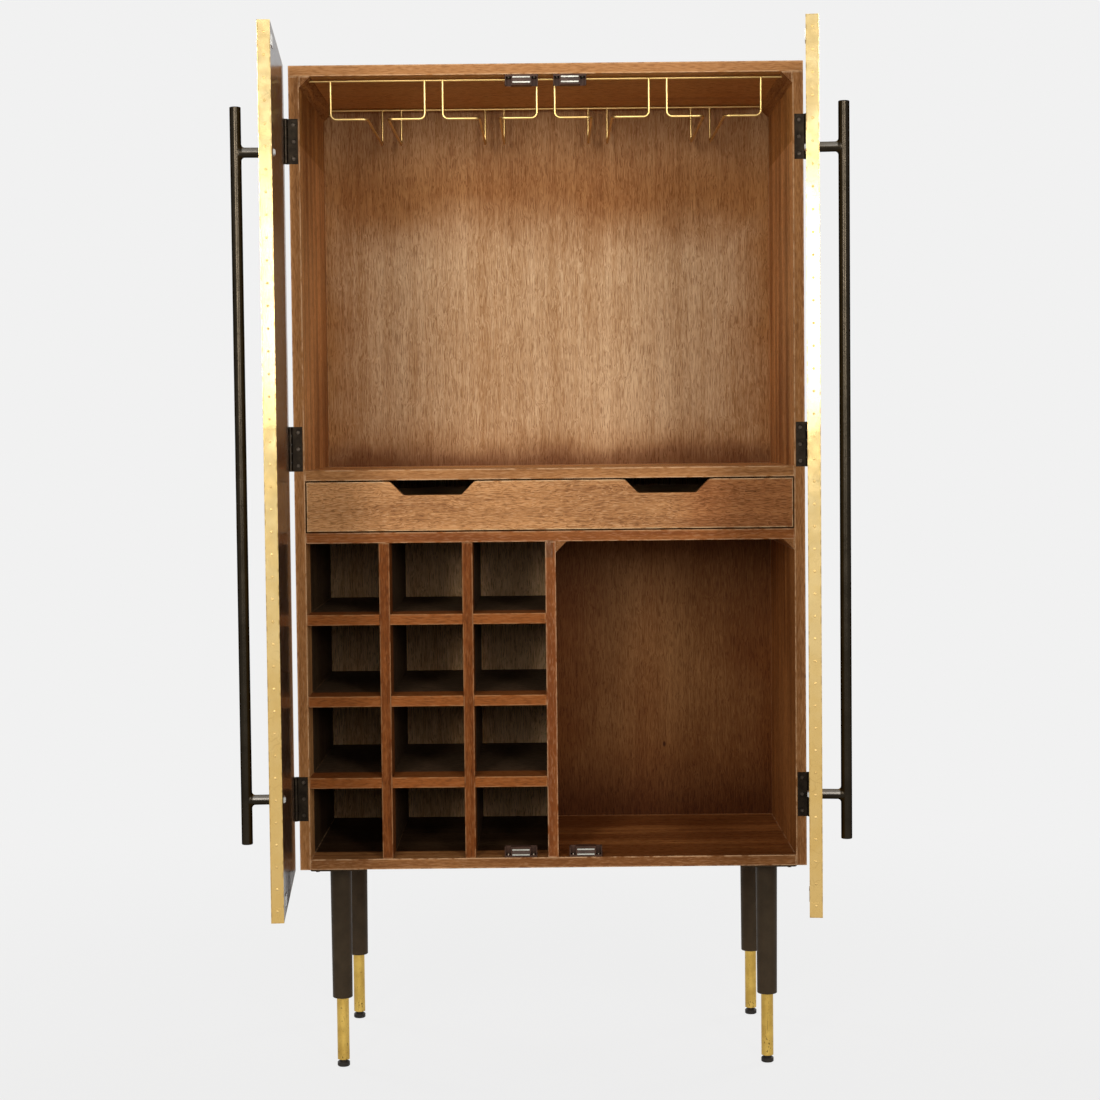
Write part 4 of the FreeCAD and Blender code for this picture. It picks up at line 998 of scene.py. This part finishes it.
@dataclass
class Carcass(Assembly):
    """The cabinet's boards, dowels and glue blocks."""

    # Each board's tone shift is partly board-to-board difference and partly painted light: the top board
    # paler, the bottom board darker.
    boards: Tuple[Board, ...] = (
        (HARDWOOD, "side_panel_left", Grain.UPRIGHT, 0.0), (HARDWOOD, "side_panel_right", Grain.UPRIGHT, 0.0),
        (HARDWOOD, "top_panel", Grain.ACROSS, 0.12), (HARDWOOD, "bottom_panel", Grain.ACROSS, -0.08),
        (HARDWOOD, "upper_shelf", Grain.ACROSS, 0.06), (HARDWOOD, "corner_blocks", Grain.DEEP, -0.06),
        (REDWOOD, "lower_shelf", Grain.ACROSS, 0.04), (REDWOOD, "centre_divider", Grain.UPRIGHT, -0.09))
    others: Tuple[Group, ...] = ((DOWEL_WOOD, ("carcass_dowels",)),)
    # Painted light brightens the back behind the rack; painted shade darkens the lower right compartment's
    # back.
    patches: Tuple[Patch, ...] = (
        Patch(-INNER_X, INNER_X, UPPER_SHELF_Z, CEILING_Z),
        Patch(-INNER_X, -DIVIDER_X, FLOOR_Z, LOWER_SHELF_Z, (1.6, 1.5, 1.35), burn=0.0),
        Patch(DIVIDER_X, INNER_X, FLOOR_Z, LOWER_SHELF_Z, (0.43, 0.295, 0.175), pulls=(1.2, 0.55, 2.0),
              head_drop=0.0, shade=0.13))

    def dress(self) -> None:
        """Give every board its wood, and the back board its patches of painted light and shade, with partly
        burnished borders.
        """
        super().dress()
        back = BackPlank(f"{BACK_BOARD.name}_back_panel", BACK_BOARD, "back_panel", Grain.UPRIGHT,
                         patches=self.patches)
        back.dress(solid("back_panel"))


@dataclass
class BottleRack(Assembly):
    """The crossed boards of the bottle rack, dark inside, with red-brown front lips."""

    boards: Tuple[Board, ...] = (
        (RACK_BOARD, "rack_upright_left", Grain.UPRIGHT, 0.0),
        (RACK_BOARD, "rack_upright_right", Grain.UPRIGHT, 0.0),
        (RACK_BOARD, "rack_shelf_top", Grain.ACROSS, 0.16),
        (RACK_BOARD, "rack_shelf_middle", Grain.ACROSS, 0.16),
        (RACK_BOARD, "rack_shelf_bottom", Grain.ACROSS, 0.16))


@dataclass
class GlassRack(Assembly):
    """The brass rails and hangers for stemmed glasses."""

    others: Tuple[Group, ...] = (
        (BRASS_WIRE, ("glass_rails", *[f"glass_hanger_{number}" for number in (1, 2, 3, 4)])),)


@dataclass
class Drawer(Assembly):
    """The drawer with its figured front, and its runners."""

    boards: Tuple[Board, ...] = (
        (DRAWER_BOARD, "drawer_front", Grain.ACROSS, 0.0), (SOFTWOOD_DARKENED_AS_SHADE, "drawer_side_left", Grain.DEEP, 0.0),
        (SOFTWOOD_DARKENED_AS_SHADE, "drawer_side_right", Grain.DEEP, 0.0), (SOFTWOOD_DARKENED_AS_SHADE, "drawer_back", Grain.ACROSS, 0.0),
        (SOFTWOOD_DARKENED_AS_SHADE, "drawer_bottom", Grain.ACROSS, 0.0), (SOFTWOOD_DARKENED_AS_SHADE, "drawer_runners", Grain.DEEP, 0.0))


@dataclass
class Door(Assembly):
    """One brass-clad door, standing open."""

    hand: Hand
    open_angle: float
    hinges: HingeRow = HingeRow()
    hinge_spins: Pair = (0.6, 1.0)
    axis_x: float = 0.3875
    axis_y: float = -1.5 * MM
    inner_y: float = -3.0 * MM
    thickness: float = 17.5 * MM
    hinge_x: float = 0.3825
    free_x: float = 1.5 * MM
    foot: float = 0.313
    head: float = 1.515
    handle_x: float = 42.5 * MM
    handle_y: float = -53.0 * MM
    handle_clearance: float = 8.0 * MM
    strikes: Tuple[Pair, ...] = ((0.049, 0.336), (0.036, 1.492))
    strike_thickness: float = 1.0 * MM
    strike_spin: float = 0.9
    fold_height: float = 20.0 * MM
    fold_thickness: float = 0.12 * MM
    fold_margin: float = 1.8 * MM
    fold_inset: float = 0.4 * MM
    fold_bevel: float = 0.08 * MM

    @property
    def turn(self) -> float:
        """The door's turn from shut, in radians about +Z."""
        return self.hand.value * math.radians(self.open_angle)

    def swing(self) -> Matrix:
        """The move from the shut door to the open one."""
        axis = Vector((self.hand.value * self.axis_x, self.axis_y, 0))
        return Matrix.Translation(axis) @ Matrix.Rotation(self.turn, 4, "Z") @ Matrix.Translation(-axis)

    def sheet(self) -> BrassSheet:
        """This door's brass.

        Returns:
            The sheet's finish, with the shut door's box and its turn.
        """
        hand = self.hand.value
        ends = sorted((hand * self.free_x, hand * self.hinge_x))
        return replace(BRASS_SHEET, name=f"{BRASS_SHEET.name}_{self.hand.word}",
                       low=(ends[0], self.inner_y - self.thickness, self.foot),
                       high=(ends[1], self.inner_y, self.head), turn=self.turn,
                       axis=(hand * self.axis_x, self.axis_y))

    def dress(self) -> None:
        """Give the door's nodes their finishes."""
        side = self.hand.word
        core = f"door_core_{side}"
        bar = self.swing() @ Vector((self.hand.value * self.handle_x, self.handle_y, 0))
        bronze = replace(DARK_BRONZE, name=f"{DARK_BRONZE.name}_{side}",
                         reach=abs(bar.x) - self.handle_clearance)
        lacquer = DoorFace(f"{LACQUERED.name}_{core}", LACQUERED, core, Grain.UPRIGHT)
        for stem, finish in (("door_core", lacquer), ("door_cladding", self.sheet()), ("door_handle", bronze),
                             ("cladding_nails", BRASS_NAIL), ("hinge_door_leaves", HINGE_STEEL),
                             ("door_fasteners", SCREW_STEEL), ("strike_plates", BRIGHT_STEEL)):
            finish.dress(solid(f"{stem}_{side}"))

    def build(self) -> None:
        """The cross-headed fasteners on the inner face, and the folded ends of the brass."""
        inward, hand, side = Vector((0, 1, 0)), self.hand.value, self.hand.word
        body = f"{side}_door"
        screws = bmesh.new()
        HINGE_SCREW.stamp(screws, self.hinges.seats(self.hand, self.inner_y, inward, self.hinge_spins))
        bolts = bmesh.new()
        face = self.inner_y + self.strike_thickness
        STRIKE_SCREW.stamp(bolts, [(Vector((hand * x, face, z)), inward, self.strike_spin * z)
                                   for x, z in self.strikes])
        HANDLE_BOLT.stamp(bolts, [(Vector((hand * self.handle_x, self.inner_y, z)), inward, z)
                                  for z in POST_LEVELS])
        for shape in (screws, bolts):
            bmesh.ops.transform(shape, matrix=self.swing(), verts=shape.verts)
        piece(f"door_screws_{side}", screws, body, SCREW_STEEL, "black_hinge_steel", f"door_fasteners_{side}")
        piece(f"door_bolts_{side}", bolts, body, BRIGHT_STEEL, "bright_steel")
        piece(f"cladding_folds_{side}", self.folds(), body, self.sheet(), "brass_sheet")

    def folds(self) -> bmesh.types.BMesh:
        """The brass tabs folded over the free edge at the head and the foot.

        Returns:
            Two thin bevelled plates, in place on the open door.
        """
        shape = bmesh.new()
        size = (2 * self.fold_thickness, self.thickness - 2 * self.fold_margin, self.fold_height, 1.0)
        inset = self.fold_height / 2 + self.fold_inset
        for level in (self.head - inset, self.foot + inset):
            middle = Vector((self.hand.value * self.free_x, self.inner_y - self.thickness / 2, level))
            bmesh.ops.create_cube(shape, size=1.0, matrix=Matrix.Translation(middle) @ Matrix.Diagonal(size))
        bmesh.ops.bevel(shape, geom=shape.edges[:], offset=self.fold_bevel, offset_type="OFFSET", segments=2,
                        profile=0.5, affect="EDGES", clamp_overlap=True, material=-1)
        bmesh.ops.transform(shape, matrix=self.swing(), verts=shape.verts)
        return shape


@dataclass
class CabinetFittings(Assembly):
    """The fixed hinge leaves, pins, screws and magnetic catches."""

    hinges: HingeRow = HingeRow()
    hinge_spins: Pair = (0.5, 0.8)
    catches: Tuple[Triple, ...] = ((0.049, 0.331, 1.0), (0.036, 1.497, -1.0))
    catch_y: float = 6.7 * MM
    catch_spin: float = 20.0
    ear_reach: float = 19.075 * MM
    others: Tuple[Group, ...] = (
        (HINGE_STEEL, ("hinge_frame_leaves", "hinge_pins")),
        (SCREW_STEEL, ("hinge_frame_screws", "catch_screws")), (BROWN_PLASTIC, ("catch_housings",)),
        (DULL_NICKEL, ("catch_pole_plates",)), (FERRITE, ("catch_magnets",)))

    def build(self) -> None:
        """The cross-headed screws of the hinges and the catches."""
        shape = bmesh.new()
        for hand in Hand:
            HINGE_SCREW.stamp(shape, self.hinges.seats(hand, 0.0, Vector((0, -1, 0)), self.hinge_spins))
        piece("hinge_screws", shape, "cabinet", SCREW_STEEL, "black_hinge_steel", "hinge_frame_screws")
        shape = bmesh.new()
        CATCH_SCREW.stamp(shape, [
            (Vector((hand.value * x + side * self.ear_reach, self.catch_y, z)), Vector((0, 0, way)),
             self.catch_spin * x)
            for hand in Hand for x, z, way in self.catches for side in (-1, 1)])
        piece("catch_ear_screws", shape, "cabinet", SCREW_STEEL, "bright_steel", "catch_screws")


@dataclass
class Legs(Assembly):
    """The turned legs with their plates, brass tubes and levelling feet."""

    leg_x: float = 0.3255
    leg_y: Pair = (0.047, 0.343)
    plate_face: float = 0.309
    screw_reach: float = 32.0 * MM
    screw_spins: Pair = (30.0, 11.0)
    others: Tuple[Group, ...] = (
        (LEG_PAINT, ("leg_plates", *[f"leg_{corner}" for corner in CORNERS])),
        (BLACK_PLASTIC, ("foot_inserts", *[f"foot_{corner}" for corner in CORNERS])),
        (HINGE_STEEL, ("leg_plate_screws",)), (BRIGHT_STEEL, ("leg_bolts",)), (AGED_BRASS, ("leg_ferrules",)))

    def build(self) -> None:
        """The cross-headed screws of the leg plates."""
        shape = bmesh.new()
        down, reach, spins = Vector((0, 0, -1)), (-self.screw_reach, self.screw_reach), self.screw_spins
        PLATE_SCREW.stamp(shape, [
            (Vector((x + across, y + along, self.plate_face)), down, spins[0] * across + spins[1] * y)
            for x in (-self.leg_x, self.leg_x) for y in self.leg_y for across in reach for along in reach])
        piece("plate_screws", shape, "cabinet", HINGE_STEEL, "black_hinge_steel", "leg_plate_screws")


@dataclass(frozen=True)
class Lamp:
    """A soft rectangular light: where it hangs, the point it faces, its size, power and beam in degrees."""

    name: str
    place: Triple
    aim: Triple
    size: Pair
    watts: float
    spread: float = 180.0

    def hang(self) -> None:
        """Put the light into the scene."""
        data = bpy.data.lights.new(self.name, "AREA")
        data.shape = "RECTANGLE"
        data.size, data.size_y = self.size
        data.energy = self.watts
        data.spread = math.radians(self.spread)
        made = linked(self.name, data)
        made.location = self.place
        made.rotation_euler = (Vector(self.aim) - Vector(self.place)).to_track_quat("-Z", "Y").to_euler()


@dataclass
class Studio:
    """The camera, the pale floor, the backdrop and the soft lights."""

    eye: Triple = (0.0025, -3.4568, 0.9631)
    yaw: float = math.radians(-0.05)
    pitch: float = math.radians(2.83)
    roll: float = math.radians(-0.593)
    focal_px: float = 2308.0
    image_px: float = 1100.0
    sensor: float = 36.0
    clip_end: float = 50.0
    backdrop: float = 0.88
    fill: float = 0.3
    floor_size: float = 20.0
    floor_drop: float = 0.5 * MM
    floor_colour: Colour = (0.8, 0.8, 0.8)
    floor_glow: float = 0.92
    glow_span: Pair = (0.6, 2.4)
    lamps: Tuple[Lamp, ...] = (
        Lamp("front", (0.0, -3.6, 1.35), (0.0, 0.3, 1.0), (0.6, 0.6), 5.0),
        Lamp("front_high", (0.0, -3.4, 2.7), (0.0, 0.3, 1.0), (2.2, 0.6), 12.0),
        Lamp("front_left", (-1.05, -3.35, 1.7), (0.0, 0.2, 1.4), (0.5, 1.3), 12.2, 80.0),
        Lamp("front_right", (1.05, -3.35, 1.7), (0.0, 0.2, 1.4), (0.5, 1.3), 11.2, 80.0),
        Lamp("rear_left", (-2.8, 2.2, 2.2), (0.0, 0.2, 0.8), (1.2, 1.2), 36.0),
        Lamp("rear_right", (2.8, 2.2, 2.2), (0.0, 0.2, 0.8), (1.2, 1.2), 36.0))

    def camera(self) -> None:
        """Set up the camera where the photograph was taken from."""
        flat = math.cos(self.pitch)
        forward = Vector((math.sin(self.yaw) * flat, math.cos(self.yaw) * flat, -math.sin(self.pitch)))
        right = Vector((math.cos(self.yaw), -math.sin(self.yaw), 0.0))
        up = right.cross(forward)
        level, tall = math.cos(self.roll), math.sin(self.roll)
        axes = Matrix((right * level + up * tall, up * level - right * tall, -forward)).transposed()
        data = bpy.data.cameras.new("camera")
        data.sensor_width = self.sensor
        data.lens = self.focal_px / self.image_px * self.sensor
        data.clip_end = self.clip_end
        made = linked("camera", data)
        made.matrix_world = Matrix.Translation(self.eye) @ axes.to_4x4()
        bpy.context.scene.camera = made

    @staticmethod
    def seen(tree: Tree) -> Term:
        """Whether a ray comes from the camera, a reflection or glass.

        Args:
            tree: The tree to work in.

        Returns:
            1 for such a ray and 0 for light that falls on the object.
        """
        camera, glossy, through = [tree.read("LightPath", output=f"Is {kind} Ray")
                                   for kind in ("Camera", "Glossy", "Transmission")]
        return camera.most(glossy).most(through)

    def world(self) -> None:
        """A pale backdrop for the eye and reflections, and a softer fill for everything else."""
        world = bpy.data.worlds.new("studio")
        bpy.context.scene.world = world
        tree = Tree(world)
        strength = self.fill + self.seen(tree) * (self.backdrop - self.fill)
        light = tree.read("Background", {"Color": WHITE, "Strength": strength})
        tree.node("OutputWorld", {"Surface": light})

    def floor(self) -> None:
        """A pale floor that takes a soft shadow and fades into the backdrop."""
        shape = bmesh.new()
        bmesh.ops.create_grid(shape, x_segments=8, y_segments=8, size=self.floor_size)
        made = meshed("floor", shape)
        made.location.z = -self.floor_drop
        material = bpy.data.materials.new("pale_floor")
        made.data.materials.append(material)
        tree = Tree(material)
        x, y, _ = tree.xyz
        away = (x * x + y * y).root().rise(*self.glow_span)
        share = self.seen(tree) * (self.floor_glow + away * (1.0 - self.floor_glow))
        plain = tree.read("BsdfDiffuse", {"Color": self.floor_colour})
        glow = tree.read("Emission", {"Color": WHITE, "Strength": self.backdrop})
        tree.node("OutputMaterial", {"Surface": tree.read("MixShader", {0: share, 1: plain, 2: glow})})

    def build(self) -> None:
        """Set up everything round the object."""
        self.camera()
        self.world()
        self.floor()
        for lamp in self.lamps:
            lamp.hang()
        bpy.context.scene.view_settings.view_transform = "Standard"


def main() -> None:
    """Dress and fit every sub-assembly in turn."""
    logging.basicConfig(level=logging.INFO, format="%(name)s %(message)s")
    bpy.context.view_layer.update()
    Studio().build()
    doors = [Door(Hand.LEFT, 86.0), Door(Hand.RIGHT, 83.25)]
    for assembly in (Carcass(), BottleRack(), GlassRack(), Drawer(), *doors, CabinetFittings(), Legs()):
        assembly.dress()
        assembly.build()
        LOG.info("dressed %s", type(assembly).__name__)


if __name__ == "__main__":
    main()
